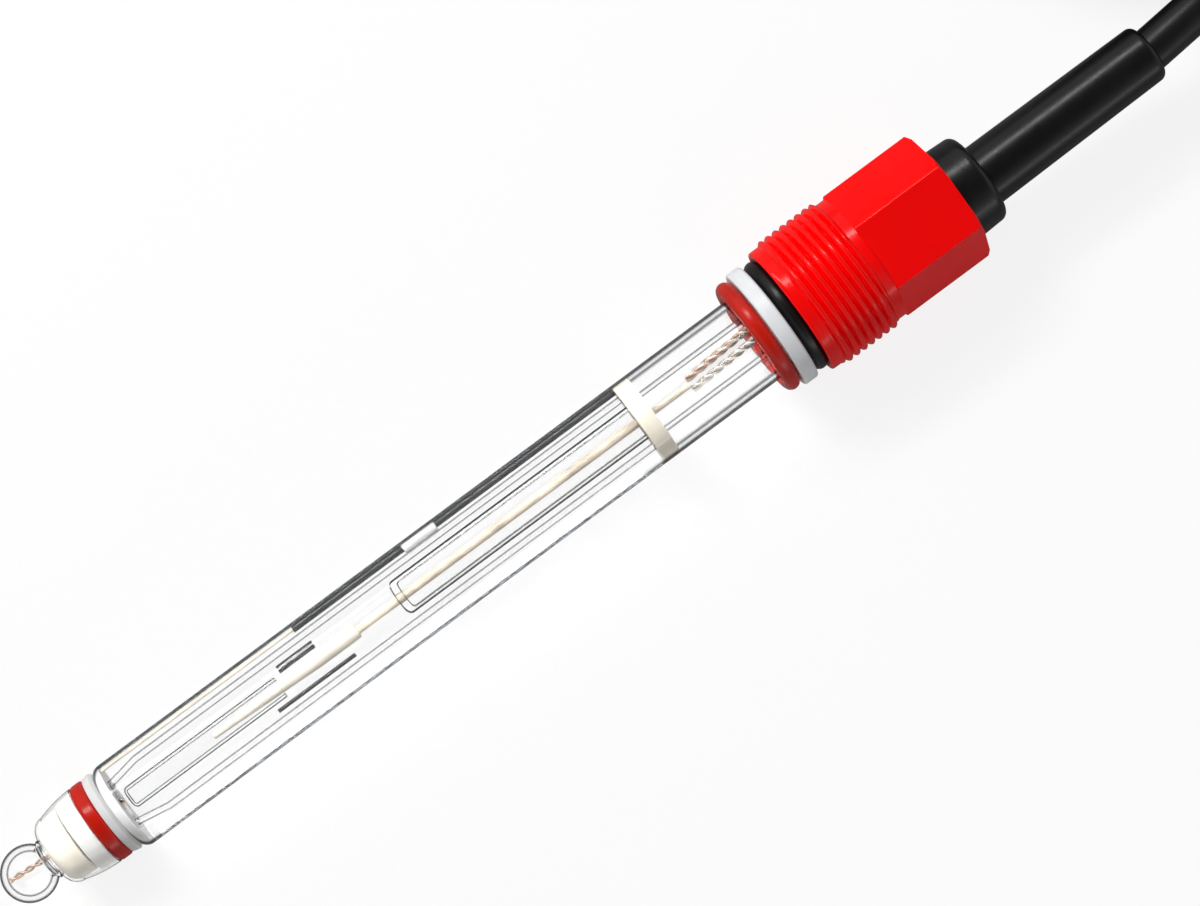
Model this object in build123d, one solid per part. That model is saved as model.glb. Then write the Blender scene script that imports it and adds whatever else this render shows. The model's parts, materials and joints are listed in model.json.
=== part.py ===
from build123d import *
import math
import os

# Combination pH electrode lying on a flat surface, with its cable coiled beside it. Millimetres, +Z up.
# The electrode is drawn along its own axis: x is the distance from the tip of the bulb, r the radius.

# Bulb and stem, blown as one piece of glass
BULB_R = 3.73
BULB_WALL = 0.8
NECK_R = 2.56
NECK_BEAD_R = 2.78
NECK_BEAD_LENGTH = 0.66
STEM_R = 3.1
STEM_WALL = 0.6
STEM_SWELL_GAP = 0.35
STEM_SWELL_LENGTH = 4.0
STEM_SETBACK = 4.5
NOSE_SHIFT_Y = 0.2

# Running, fitting and touching clearances
FIT_GAP = 0.05
FACE_GAP = 0.02
RUNNING_GAP = 0.06
SEAL_FIT = 0.02

# Glass shaft
SHAFT_R = 6.0
SHAFT_WALL = 0.75
SHAFT_LENGTH = 114.65
SHOULDER_LENGTH = 1.35
SHOULDER_DROP = 0.7
SHOULDER_BEND = (0.36, 0.3)

# Nose: clear skirt over the ivory cup, then ring, gasket, ring
SKIRT_SETBACK = 0.71
SKIRT_LENGTH = 6.7
SKIRT_FRONT_ROUND = 1.85
SKIRT_SHOULDER_R = 4.8
SKIRT_END_R = 5.6
SKIRT_BULGE = 0.18
SKIRT_WALL = 0.3
CUP_LENGTH = 3.7
CUP_R = 4.35
CUP_END_R = 4.62
CUP_FRONT_ROUND = 1.4
CUP_BACK_ROUND = 0.45
CUP_RING_GAP = 0.2
FRONT_RING_R = 4.98
FRONT_RING_END_R = 5.2
FRONT_RING_ROUND = 0.3
GASKET_LENGTH = 2.0
GASKET_R = 5.63
GASKET_ROUND = 0.55
REAR_RING_LENGTH = 1.44
REAR_RING_R = 5.78
REAR_RING_FRONT_R = 5.55
REAR_RING_BACK_LENGTH = 0.48
REAR_RING_ROUNDS = (0.2, 0.3, 0.1)
JUNCTION_DISC_LENGTH = 1.2
JUNCTION_DISC_ROUND = 0.15

# Inside the stem
CAPILLARY_R = 1.13
CAPILLARY_WALL = 0.3
CAPILLARY_GAP = 0.9
CAPILLARY_LENGTH = 23.55
WICK_SETBACK = 13.15
WICK_TIP_R = 0.3
WICK_R = 0.78
WICK_TAPER_LENGTH = 16.4
WICK_BUTT_LENGTH = 6.0
LEAD_R = 0.44
LEAD_STAND = 5.9
GUARD_R = 1.86
GUARD_WALL = 0.35
GUARD_GAP = 18.3
GUARD_END_LENGTH = 1.0
CONTACT_PIN_R = 0.42
CONTACT_PIN_GAP = 1.0
CONTACT_PIN_LENGTH = 5.5
CONTACT_PIN_SHIFT_Y = 1.45
FILLER_TIP_R = 0.2
FILLER_TIP_OVERLAP = 2.0
FILLER_TIP_LENGTH = 12.0
FILLER_TIP_SHIFT_Y = 1.75
BULB_WIRE_R = 0.22
BULB_WIRE_START_X = 1.2
BULB_WIRE_SHIFT_Y = 0.4

# Septum that shuts the filled part, and the terminals beyond it
SEPTUM_SETBACK = 33.2
SEPTUM_LENGTH = 2.3
TERMINAL_LENGTH = 10.0
TERMINAL_R = 0.35
TERMINAL_SPREAD = 0.75

# Reference side, in the gap between the stem and the shaft
THREAD_WICK_R = 0.28
THREAD_WICK_LENGTH = 29.85
THREAD_WICK_SHIFT_Y = 4.15
REFERENCE_ROD_R = 0.46
REFERENCE_ROD_SHIFT_Y = 4.1
REFERENCE_COLLAR_R = 0.78
REFERENCE_COLLAR_SETBACK = 17.15
REFERENCE_COLLAR_LENGTH = 5.1
REFERENCE_COLLAR_ROUND = 0.2

# Gland
GLAND_OVER_GLASS = 9.2
LEAD_IN_R = 9.06
LEAD_IN_LENGTH = 1.3
LEAD_IN_ROUND = 0.25
THREAD_RUN_UP = 0.74
THREAD_LENGTH = 8.5
THREAD_R = 9.53
UNDERCUT_LENGTH = 1.25
UNDERCUT_R = 8.93
HEX_LENGTH = 13.31
HEX_ACROSS_FLATS = 16.25
HEX_CHAMFER_R = 8.75
HEX_FRONT_CHAMFER = 0.32
HEX_FRONT_CHAMFER_LENGTH = 0.21
HEX_BACK_CHAMFER_LENGTH = 0.5
HEX_EDGE_ROUND = 0.35
HEX_TURN = 7.5
GLAND_SOCKET_R = 7.7
GLAND_SOCKET_DEPTH = 10.4
GLAND_SOCKET_ROUND = 0.3
GLAND_MOUTH_R = 8.45
GLAND_MOUTH_LENGTH = 0.75
GLAND_BORE_R = 6.25

# Seals under the gland
SEAL_SECTION_R = 1.09
SEAL_GAP = 0.06
BLACK_RING_STAND = 0.7
WASHER_LENGTH = 2.15
WASHER_R = 8.57
WASHER_ROUND = 0.4

# Head that holds the glass, its collar and the strain relief
HEAD_SEAL_GAP = 0.31
HEAD_STEP_GAP = 0.3
HEAD_FRONT_ROUND = 0.4
HEAD_STEP_ROUND = 0.2
HEAD_NOSE_WALL = 0.9
CABLE_CHANNEL_GAP = 0.3
COLLAR_GAP = 0.05
COLLAR_LENGTH = 4.55
COLLAR_R = 6.46
COLLAR_END_R = 6.24
COLLAR_ROUND = 1.15
COLLAR_SHIFT_Y = -0.35
SLEEVE_LENGTH = 26.8
SLEEVE_R = 4.19
SLEEVE_END_R = 3.97
SLEEVE_ROOT_ROUND = 0.12
SLEEVE_END_ROUND = 0.95
SLEEVE_SHIFT_Y = -0.68
SLEEVE_LEAN = 0.5
SLEEVE_SPIGOT_R = 3.4
SLEEVE_SPIGOT_LENGTH = 1.5

# Cable: a coil of four and a half turns beside the head, with a bayonet plug on its end
CABLE_R = 2.9
CABLE_YAW = 5.0
COIL_MEAN_R = 33.0
COIL_CENTRE = (118.7, 38.14)
TAIL_LENGTH = 22.0
ENTRY_PITCH = -6.0
CABLE_NEAR = [(89.55, -0.45, 11.33), (94.88, 0.02, 11.54), (100.03, 0.47, 11.0)]
CABLE_FAR = [(93.65, 71.99, 2.9), (86.68, 71.38, 2.9), (80.59, 70.85, 3.91)]

# Bayonet plug, drawn along its own axis from the back of its boot
BOOT_LENGTH = 14.0
BOOT_R = 3.5
BOOT_FRONT_R = 4.4
BOOT_ROUND = 0.5
BOOT_GROOVE = 0.35
BOOT_GROOVE_START = 3.2
BOOT_GROOVE_PITCH = 2.8
BOOT_GROOVE_WIDTH = 1.3
BOOT_GROOVES = 3
FERRULE_R = 3.2
FERRULE_WALL = 0.5
FERRULE_INSET = 5.0
FERRULE_LENGTH = 11.0
FERRULE_ROUND = 0.1
BODY_REAR_R = 4.9
BODY_REAR_LENGTH = 2.48
BODY_NECK_R = 4.6
BODY_NECK_LENGTH = 1.5
BODY_FLANGE_R = 5.9
BODY_FLANGE_LENGTH = 1.6
BODY_FLOOR = 3.0
BODY_ROUND = 0.2
CONTACT_SLEEVE_R = 4.05
CONTACT_SLEEVE_WALL = 0.5
CONTACT_SLEEVE_LENGTH = 12.0
INSULATOR_LENGTH = 7.48
PIN_R = 0.68
PIN_LENGTH = 9.98
RING_LIP = 1.3
RING_LENGTH = 15.7
RING_R = 7.25
RING_BEVEL = 1.4
RING_MOUTH_R = 4.95
RING_MOUTH_ROUND = 0.5
RING_ROUND = 0.2
SLOT_WIDTH = 2.2
SLOT_LENGTH = 5.2
SLOT_LEAN = 38.0
SLOT_SETBACK = 8.4

# Places along the axes, which follow from the lengths
NECK_X = BULB_R + math.sqrt(BULB_R**2 - NECK_R**2)
SKIRT_X = NECK_X + SKIRT_SETBACK
SKIRT_END_X = SKIRT_X + SKIRT_LENGTH
CUP_X = SKIRT_X + SKIRT_WALL + FIT_GAP
CUP_END_X = CUP_X + CUP_LENGTH
GASKET_X = SKIRT_END_X + FACE_GAP
REAR_RING_X = GASKET_X + GASKET_LENGTH + FACE_GAP
SHAFT_X = REAR_RING_X + REAR_RING_LENGTH + FACE_GAP
SHAFT_END_X = SHAFT_X + SHAFT_LENGTH
DISC_END_X = SHAFT_X + JUNCTION_DISC_LENGTH
SWELL_X = DISC_END_X + STEM_SWELL_GAP
STEM_END_X = SHAFT_END_X - STEM_SETBACK
SEPTUM_X = SHAFT_END_X - SEPTUM_SETBACK
SEPTUM_END_X = SEPTUM_X + SEPTUM_LENGTH
CAPILLARY_X = DISC_END_X + CAPILLARY_GAP
CAPILLARY_END_X = CAPILLARY_X + CAPILLARY_LENGTH
WICK_X = CAPILLARY_X + WICK_SETBACK
WICK_END_X = WICK_X + WICK_TAPER_LENGTH + WICK_BUTT_LENGTH
GUARD_X = CAPILLARY_END_X + GUARD_GAP
LEAD_END_X = SEPTUM_END_X + LEAD_STAND
THREAD_WICK_X = DISC_END_X + FIT_GAP
REFERENCE_ROD_X = THREAD_WICK_X + THREAD_WICK_LENGTH
GLAND_X = SHAFT_END_X - GLAND_OVER_GLASS
THREAD_X = GLAND_X + LEAD_IN_LENGTH + THREAD_RUN_UP
THREAD_END_X = THREAD_X + THREAD_LENGTH
HEX_X = THREAD_END_X + UNDERCUT_LENGTH
HEX_END_X = HEX_X + HEX_LENGTH
SOCKET_END_X = GLAND_X + GLAND_SOCKET_DEPTH
BLACK_RING_X = GLAND_X - BLACK_RING_STAND
WASHER_END_X = BLACK_RING_X - SEAL_SECTION_R - SEAL_GAP
WASHER_X = WASHER_END_X - WASHER_LENGTH
RED_RING_X = WASHER_X - SEAL_SECTION_R - SEAL_GAP
HEAD_X = BLACK_RING_X + SEAL_SECTION_R + HEAD_SEAL_GAP
COLLAR_X = HEX_END_X + COLLAR_GAP
COLLAR_END_X = COLLAR_X + COLLAR_LENGTH
SLEEVE_END_X = COLLAR_END_X + SLEEVE_LENGTH
PLUG_BODY_X = FERRULE_INSET + FERRULE_LENGTH + FACE_GAP
PLUG_NECK_X = PLUG_BODY_X + BODY_REAR_LENGTH
PLUG_FLANGE_X = PLUG_NECK_X + BODY_NECK_LENGTH
PLUG_FACE_X = PLUG_FLANGE_X + BODY_FLANGE_LENGTH
PLUG_FLOOR_X = PLUG_FLANGE_X + BODY_FLOOR
RING_X = PLUG_FLANGE_X - RING_LIP
RING_END_X = RING_X + RING_LENGTH

# Bores
SHAFT_BORE_R = SHAFT_R - SHAFT_WALL
STEM_BORE_R = STEM_R - STEM_WALL

os.makedirs("parts", exist_ok=True)


def outline(corners):
    """Face in the XY plane from corners (x, y, rounding), each rounding a true arc."""
    points = [(x, y) for x, y, _ in corners]
    return make_face(FilletPolyline(*points, radius=[r for _, _, r in corners], close=True))


def turned(corners):
    """Solid turned about the X axis from corners (x, r, rounding)."""
    return revolve(outline(corners), axis=Axis.X)


def ring(x0, x1, inner, outer, rounding=0.0):
    """Plain ring or tube about the X axis."""
    return turned([(x0, inner, 0), (x1, inner, 0), (x1, outer, rounding), (x0, outer, rounding)])


def rod(x0, x1, radius):
    """Plain round bar about the X axis."""
    return Pos(x0, 0, 0) * extrude(Plane.YZ * Circle(radius), x1 - x0)


def through_rod(x0, x1, radius):
    """Bar for a hole from x0 to x1 that passes both faces."""
    return rod(x0 - 1, x1 + 1, radius)


def skirt_face(drop):
    """Half section under the skirt's outer skin, moved in by drop."""
    front = SKIRT_X + drop
    arc_x = SKIRT_X + SKIRT_FRONT_ROUND
    arc_r = SKIRT_SHOULDER_R - SKIRT_FRONT_ROUND
    size = SKIRT_FRONT_ROUND - drop
    knee = (arc_x, arc_r + size)
    middle = (arc_x - size * math.sqrt(0.5), arc_r + size * math.sqrt(0.5))
    end = (SKIRT_END_X, SKIRT_END_R - drop)
    crown = ((knee[0] + end[0]) / 2, (knee[1] + end[1]) / 2 + SKIRT_BULGE)
    edges = [
        Line((front, 0), (front, arc_r)),
        ThreePointArc((front, arc_r), middle, knee),
        ThreePointArc(knee, crown, end),
        Line(end, (SKIRT_END_X, 0)),
        Line((SKIRT_END_X, 0), (front, 0)),
    ]
    return make_face(edges)


def make_nose():
    """Skirt, cup, two rings, gasket and junction disc round the neck of the stem."""
    hole_r = NECK_R + FIT_GAP
    through = through_rod(SKIRT_X, DISC_END_X, hole_r)
    skirt = revolve(skirt_face(0), axis=Axis.X) - revolve(skirt_face(SKIRT_WALL), axis=Axis.X)
    skirt -= rod(SKIRT_X - 1, CUP_X, hole_r)
    cup = turned(
        [
            (CUP_X, 0, 0),
            (CUP_X, CUP_R, CUP_FRONT_ROUND),
            (CUP_END_X, CUP_END_R, CUP_BACK_ROUND),
            (CUP_END_X, 0, 0),
        ]
    )
    front_x = CUP_END_X + CUP_RING_GAP
    front_ring = turned(
        [
            (front_x, 0, 0),
            (front_x, FRONT_RING_R, FRONT_RING_ROUND),
            (SKIRT_END_X, FRONT_RING_END_R, 0),
            (SKIRT_END_X, 0, 0),
        ]
    )
    gasket = ring(GASKET_X, GASKET_X + GASKET_LENGTH, hole_r, GASKET_R, GASKET_ROUND)
    lip_round, rim_round, back_round = REAR_RING_ROUNDS
    rear_end = REAR_RING_X + REAR_RING_LENGTH
    rear_ring = turned(
        [
            (REAR_RING_X, 0, 0),
            (REAR_RING_X, REAR_RING_FRONT_R, lip_round),
            (rear_end - REAR_RING_BACK_LENGTH, REAR_RING_R, rim_round),
            (rear_end, SHAFT_R - SHOULDER_DROP, back_round),
            (rear_end, 0, 0),
        ]
    )
    disc_r = SHAFT_BORE_R - NOSE_SHIFT_Y - FIT_GAP
    disc = turned(
        [
            (SHAFT_X, 0, 0),
            (SHAFT_X, disc_r - SHOULDER_DROP, 0),
            (DISC_END_X, disc_r - FIT_GAP, JUNCTION_DISC_ROUND),
            (DISC_END_X, 0, 0),
        ]
    )
    pieces = {
        "nose_skirt": skirt,
        "ivory_cup": cup - through,
        "front_ring": front_ring - through,
        "nose_gasket": gasket,
        "rear_ring": rear_ring - through,
        "junction_disc": disc - through,
    }
    return {name: Pos(0, NOSE_SHIFT_Y, 0) * piece for name, piece in pieces.items()}


def make_shaft():
    """Outer glass tube with its drawn-in, flame-rounded shoulder."""
    full = SHAFT_X + SHOULDER_LENGTH
    along, down = SHOULDER_BEND

    def half_section(radius):
        lip = radius - SHOULDER_DROP
        bend = (SHAFT_X + SHOULDER_LENGTH * along, radius - SHOULDER_DROP * down)
        return make_face(
            [
                Line((SHAFT_X, 0), (SHAFT_X, lip)),
                ThreePointArc((SHAFT_X, lip), bend, (full, radius)),
                Line((full, radius), (SHAFT_END_X, radius)),
                Line((SHAFT_END_X, radius), (SHAFT_END_X, 0)),
                Line((SHAFT_END_X, 0), (SHAFT_X, 0)),
            ]
        )

    return revolve(half_section(SHAFT_R), axis=Axis.X) - revolve(half_section(SHAFT_BORE_R), axis=Axis.X)


def make_stem():
    """Bulb, neck with its bead, and stem, as one hollow blown piece."""
    bead_end = NECK_X + NECK_BEAD_LENGTH

    def half_section(bulb_r, neck_r, bead_r, stem_r):
        join = BULB_R + math.sqrt(bulb_r**2 - neck_r**2)
        tip = BULB_R - bulb_r
        swell_end = SWELL_X + STEM_SWELL_LENGTH
        return make_face(
            [
                ThreePointArc((tip, 0), (BULB_R, bulb_r), (join, neck_r)),
                ThreePointArc((join, neck_r), ((join + bead_end) / 2, bead_r), (bead_end, neck_r)),
                Line((bead_end, neck_r), (SWELL_X, neck_r)),
                Line((SWELL_X, neck_r), (swell_end, stem_r)),
                Line((swell_end, stem_r), (STEM_END_X, stem_r)),
                Line((STEM_END_X, stem_r), (STEM_END_X, 0)),
                Line((STEM_END_X, 0), (tip, 0)),
            ]
        )

    outer = half_section(BULB_R, NECK_R, NECK_BEAD_R, STEM_R)
    inner = half_section(BULB_R - BULB_WALL, NECK_R - STEM_WALL, NECK_BEAD_R - STEM_WALL, STEM_BORE_R)
    return Pos(0, NOSE_SHIFT_Y, 0) * (revolve(outer, axis=Axis.X) - revolve(inner, axis=Axis.X))


def make_capillary():
    """Small tube with a round closed end, open towards the head."""
    bore = CAPILLARY_R - CAPILLARY_WALL
    floor_x = CAPILLARY_X + CAPILLARY_WALL
    return turned(
        [
            (CAPILLARY_X, 0, 0),
            (CAPILLARY_X, CAPILLARY_R, CAPILLARY_R * 0.95),
            (CAPILLARY_END_X, CAPILLARY_R, CAPILLARY_WALL / 3),
            (CAPILLARY_END_X, bore, 0),
            (floor_x, bore, CAPILLARY_WALL),
            (floor_x, 0, 0),
        ]
    )


def make_wick():
    """Wick that tapers to a fine tip and ends in a butt, where the lead begins."""
    taper_end = WICK_X + WICK_TAPER_LENGTH
    return turned(
        [
            (WICK_X, 0, 0),
            (WICK_X, WICK_TIP_R, WICK_TIP_R / 3),
            (taper_end, WICK_R, 0),
            (WICK_END_X, WICK_R, WICK_R / 4),
            (WICK_END_X, 0, 0),
        ]
    )


def make_guard():
    """Guard tube round the lead, drawn in at its front and shut by the septum."""
    hole = LEAD_R + FIT_GAP
    bore = GUARD_R - GUARD_WALL
    end_x = SEPTUM_X - FACE_GAP
    return turned(
        [
            (GUARD_X, hole, 0),
            (GUARD_X, GUARD_R, GUARD_R * 0.7),
            (end_x, GUARD_R, 0),
            (end_x, bore, 0),
            (GUARD_X + GUARD_END_LENGTH, bore, GUARD_END_LENGTH / 2),
            (GUARD_X + GUARD_END_LENGTH, hole, 0),
        ]
    )


def make_stem_contents():
    """What the stem holds, from the bulb's wire to the terminals."""
    pin_x = CAPILLARY_END_X + CONTACT_PIN_GAP
    tip_x = CAPILLARY_END_X - FILLER_TIP_OVERLAP
    pin = rod(pin_x, pin_x + CONTACT_PIN_LENGTH, CONTACT_PIN_R)
    filler = rod(tip_x, tip_x + FILLER_TIP_LENGTH, FILLER_TIP_R)
    terminal = rod(LEAD_END_X, LEAD_END_X + TERMINAL_LENGTH, TERMINAL_R)
    offset = Pos(0, TERMINAL_SPREAD, TERMINAL_SPREAD / 2)
    pieces = {
        "bulb_wire": Pos(0, BULB_WIRE_SHIFT_Y, 0) * rod(BULB_WIRE_START_X, SWELL_X, BULB_WIRE_R),
        "capillary_tube": make_capillary(),
        "inner_wick": make_wick(),
        "contact_pin": Pos(0, CONTACT_PIN_SHIFT_Y, 0) * pin,
        "filler_tip": Pos(0, -FILLER_TIP_SHIFT_Y, 0) * filler,
        "inner_lead": rod(WICK_END_X, LEAD_END_X, LEAD_R),
        "guard_tube": make_guard(),
        "stem_plug": ring(SEPTUM_X, SEPTUM_END_X, LEAD_R + FIT_GAP, STEM_BORE_R - FIT_GAP),
        "terminal_pins": Compound([offset * terminal, offset.inverse() * terminal]),
    }
    return {name: Pos(0, NOSE_SHIFT_Y, 0) * piece for name, piece in pieces.items()}


def make_reference_side():
    """Septum, thread wick and reference rod in the gap between the stem and the shaft."""
    stem_hole = Pos(0, NOSE_SHIFT_Y, 0) * through_rod(SEPTUM_X, SEPTUM_END_X, STEM_R + FIT_GAP)
    collar_x = REFERENCE_ROD_X + REFERENCE_COLLAR_SETBACK
    collar_end = collar_x + REFERENCE_COLLAR_LENGTH
    hole_r = REFERENCE_ROD_R + FACE_GAP
    collar = ring(collar_x, collar_end, hole_r, REFERENCE_COLLAR_R, REFERENCE_COLLAR_ROUND)
    beside = Pos(0, REFERENCE_ROD_SHIFT_Y, 0)
    return {
        "septum": rod(SEPTUM_X, SEPTUM_END_X, SHAFT_BORE_R - FIT_GAP) - stem_hole,
        "thread_wick": Pos(0, THREAD_WICK_SHIFT_Y, 0) * rod(THREAD_WICK_X, REFERENCE_ROD_X, THREAD_WICK_R),
        "reference_rod": beside * rod(REFERENCE_ROD_X, SEPTUM_X - FACE_GAP, REFERENCE_ROD_R),
        "reference_collar": beside * collar,
    }


def seal(x):
    """O-ring on the shaft, centred at x."""
    section = Pos(x, SHAFT_R + SEAL_FIT + SEAL_SECTION_R) * Circle(SEAL_SECTION_R)
    return revolve(section, axis=Axis.X)


def make_seals():
    """Two O-rings with the thrust washer between them."""
    washer = ring(WASHER_X, WASHER_END_X, SHAFT_R + FIT_GAP, WASHER_R, WASHER_ROUND)
    return {"red_o_ring": seal(RED_RING_X), "thrust_washer": washer, "black_o_ring": seal(BLACK_RING_X)}


def make_hex():
    """Hexagon with rounded edges and chamfered ends, one flat turned HEX_TURN from straight up."""
    corner_r = HEX_ACROSS_FLATS / 2 / math.cos(math.radians(30))
    clear_r = corner_r + FIT_GAP
    hexagon = fillet(RegularPolygon(HEX_ACROSS_FLATS / 2, 6, major_radius=False).vertices(), HEX_EDGE_ROUND)
    bar = Pos(HEX_X, 0, 0) * extrude(Plane.YZ * Rot(0, 0, 60 + HEX_TURN) * hexagon, HEX_LENGTH)
    envelope = turned(
        [
            (HEX_X, 0, 0),
            (HEX_X, clear_r - HEX_FRONT_CHAMFER, 0),
            (HEX_X + HEX_FRONT_CHAMFER_LENGTH, clear_r, 0),
            (HEX_END_X - HEX_BACK_CHAMFER_LENGTH, clear_r, 0),
            (HEX_END_X, HEX_CHAMFER_R, 0),
            (HEX_END_X, 0, 0),
        ]
    )
    return bar & envelope


def make_gland():
    """Threaded gland with a chamfered hex, bored to turn on the head; the thread's crests as a cylinder."""
    thread_fade = (THREAD_R - LEAD_IN_R) / 2
    body = turned(
        [
            (GLAND_X, 0, 0),
            (GLAND_X, LEAD_IN_R, LEAD_IN_ROUND),
            (GLAND_X + LEAD_IN_LENGTH, LEAD_IN_R, 0),
            (THREAD_X, THREAD_R, 0),
            (THREAD_END_X - thread_fade, THREAD_R, 0),
            (THREAD_END_X, UNDERCUT_R, 0),
            (HEX_X, UNDERCUT_R, 0),
            (HEX_X, 0, 0),
        ]
    )
    mouth_end = GLAND_X + GLAND_MOUTH_LENGTH
    hollow = turned(
        [
            (GLAND_X - 1, 0, 0),
            (GLAND_X - 1, GLAND_MOUTH_R, 0),
            (GLAND_X, GLAND_MOUTH_R, 0),
            (mouth_end, GLAND_SOCKET_R, 0),
            (SOCKET_END_X, GLAND_SOCKET_R, GLAND_SOCKET_ROUND),
            (SOCKET_END_X, GLAND_BORE_R, 0),
            (HEX_END_X + 1, GLAND_BORE_R, 0),
            (HEX_END_X + 1, 0, 0),
        ]
    )
    return {"gland": body + make_hex() - hollow}


def make_head():
    """Head moulded round the glass, with its collar, and the strain relief that the cable leaves by."""
    barrel_end = COLLAR_X + COLLAR_LENGTH / 2
    barrel_r = SLEEVE_SPIGOT_R + HEAD_NOSE_WALL
    step_x = SOCKET_END_X - HEAD_STEP_GAP
    flange_r = GLAND_SOCKET_R - RUNNING_GAP
    waist_r = GLAND_BORE_R - RUNNING_GAP
    head = turned(
        [
            (HEAD_X, 0, 0),
            (HEAD_X, flange_r, HEAD_FRONT_ROUND),
            (step_x, flange_r, HEAD_STEP_ROUND),
            (step_x, waist_r, HEAD_STEP_ROUND),
            (COLLAR_X, waist_r, 0),
            (COLLAR_X, barrel_r, 0),
            (barrel_end, barrel_r, 0),
            (barrel_end, 0, 0),
        ]
    )
    head -= rod(HEAD_X - 1, SHAFT_END_X + FIT_GAP, SHAFT_R + FIT_GAP)
    head -= rod(SHAFT_END_X, barrel_end + 1, CABLE_R + CABLE_CHANNEL_GAP)
    collar = turned(
        [
            (COLLAR_X, 0, 0),
            (COLLAR_X, COLLAR_R, 0),
            (COLLAR_END_X, COLLAR_END_R, COLLAR_ROUND),
            (COLLAR_END_X, 0, 0),
        ]
    )
    collar = Pos(0, COLLAR_SHIFT_Y, 0) * collar
    collar -= rod(COLLAR_X - 1, barrel_end + FACE_GAP, barrel_r + FIT_GAP)
    spigot_x = COLLAR_END_X - SLEEVE_SPIGOT_LENGTH
    root_x = COLLAR_END_X + FIT_GAP
    sleeve = turned(
        [
            (spigot_x, 0, 0),
            (spigot_x, SLEEVE_SPIGOT_R, SLEEVE_ROOT_ROUND),
            (root_x, SLEEVE_SPIGOT_R, 0),
            (root_x, SLEEVE_R, SLEEVE_ROOT_ROUND),
            (SLEEVE_END_X, SLEEVE_END_R, SLEEVE_END_ROUND),
            (SLEEVE_END_X, 0, 0),
        ]
    )
    spigot_hole = rod(spigot_x - FACE_GAP, COLLAR_END_X + 1, SLEEVE_SPIGOT_R + FIT_GAP)
    return {
        "head_body": head,
        "head_collar": collar - sleeve_place() * spigot_hole,
        "strain_relief": sleeve_place() * sleeve,
    }


def sleeve_place():
    """The strain relief sits off the axis and leans back towards it."""
    return Pos(COLLAR_END_X, SLEEVE_SHIFT_Y, 0) * Rot(0, 0, SLEEVE_LEAN) * Pos(-COLLAR_END_X, 0, 0)


def lying():
    """Place the electrode so that its shoulder and its first thread rest on the floor."""
    shoulder_x = SHAFT_X + SHOULDER_LENGTH
    tilt = math.atan2(THREAD_R - SHAFT_R, THREAD_X - shoulder_x)
    height = SHAFT_R * math.cos(tilt) - shoulder_x * math.sin(tilt)
    return Pos(0, 0, height) * Rot(0, -math.degrees(tilt), 0)


def make_coil():
    """Outer shape of the coil: two turns by two with a turn in the groove on top, and its straight tails."""
    inner = COIL_MEAN_R - 2 * CABLE_R
    outer = COIL_MEAN_R + 2 * CABLE_R
    side_top = CABLE_R * (3 + math.tan(math.radians(15)))
    peak = CABLE_R * (5 + math.sqrt(3))
    section = Plane.XZ * outline(
        [
            (inner, 0, CABLE_R),
            (outer, 0, CABLE_R),
            (outer, side_top, CABLE_R),
            (COIL_MEAN_R, peak, CABLE_R),
            (inner, side_top, CABLE_R),
        ]
    )
    bundle = Pos(*COIL_CENTRE, 0) * revolve(section, axis=Axis.Z)
    entry = on_coil(CABLE_YAW - 90, COIL_MEAN_R + CABLE_R, 3 * CABLE_R)
    leave = on_coil(CABLE_YAW + 90, COIL_MEAN_R + CABLE_R, CABLE_R)
    for touch, away in ((entry, heading(CABLE_YAW, ENTRY_PITCH) * -1), (leave, heading(CABLE_YAW + 180))):
        tail = extrude(Plane(origin=touch, z_dir=away) * Circle(CABLE_R - FACE_GAP), TAIL_LENGTH)
        bundle += tail
        print("coil tail ends at", tuple(round(v, 2) for v in touch + away * TAIL_LENGTH))
    return {"cable_coil": bundle}


def on_coil(angle, radius, height):
    """Point of the coil at an angle in degrees, counted from +X."""
    turn = math.radians(angle)
    return Vector(COIL_CENTRE[0] + radius * math.cos(turn), COIL_CENTRE[1] + radius * math.sin(turn), height)


def heading(yaw, pitch=0.0):
    """Unit vector at a yaw in the floor plane and a pitch above it."""
    turn, rise = math.radians(yaw), math.radians(pitch)
    return Vector(math.cos(turn) * math.cos(rise), math.sin(turn) * math.cos(rise), math.sin(rise))


def cord(points):
    """Round cable along straight runs joined by tangent arcs, each as large as its runs allow."""
    bends = []
    for before, corner, after in zip(points, points[1:], points[2:]):
        first, second = Vector(corner) - Vector(before), Vector(after) - Vector(corner)
        turn = math.radians(first.get_angle(second))
        bends.append(0.45 * min(first.length, second.length) / math.tan(turn / 2))
    path = FilletPolyline(*points, radius=bends)
    tube = sweep(Plane(origin=path @ 0, z_dir=path % 0) * Circle(CABLE_R), path=path)
    section = math.pi * CABLE_R**2
    print("cable bends", [round(bend, 1) for bend in bends], "length", round(path.length, 2))
    print("cable volume over section times length", round(tube.volume / section / path.length, 4))
    return tube


def make_boot():
    """Rubber boot of the plug, grooved so that it bends, with a seat for the ferrule."""
    seat_r = FERRULE_R + FIT_GAP
    seat_x = FERRULE_INSET - FACE_GAP
    boot = turned(
        [
            (0, 0, 0),
            (0, BOOT_R, BOOT_ROUND),
            (BOOT_LENGTH, BOOT_FRONT_R, BOOT_ROUND),
            (BOOT_LENGTH, seat_r, 0),
            (seat_x, seat_r, 0),
            (seat_x, 0, 0),
        ]
    )
    for k in range(BOOT_GROOVES):
        x = BOOT_GROOVE_START + k * BOOT_GROOVE_PITCH
        floor_r = BOOT_R + (BOOT_FRONT_R - BOOT_R) * x / BOOT_LENGTH - BOOT_GROOVE
        boot -= ring(x, x + BOOT_GROOVE_WIDTH, floor_r, BOOT_FRONT_R + 1)
    return boot


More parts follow.
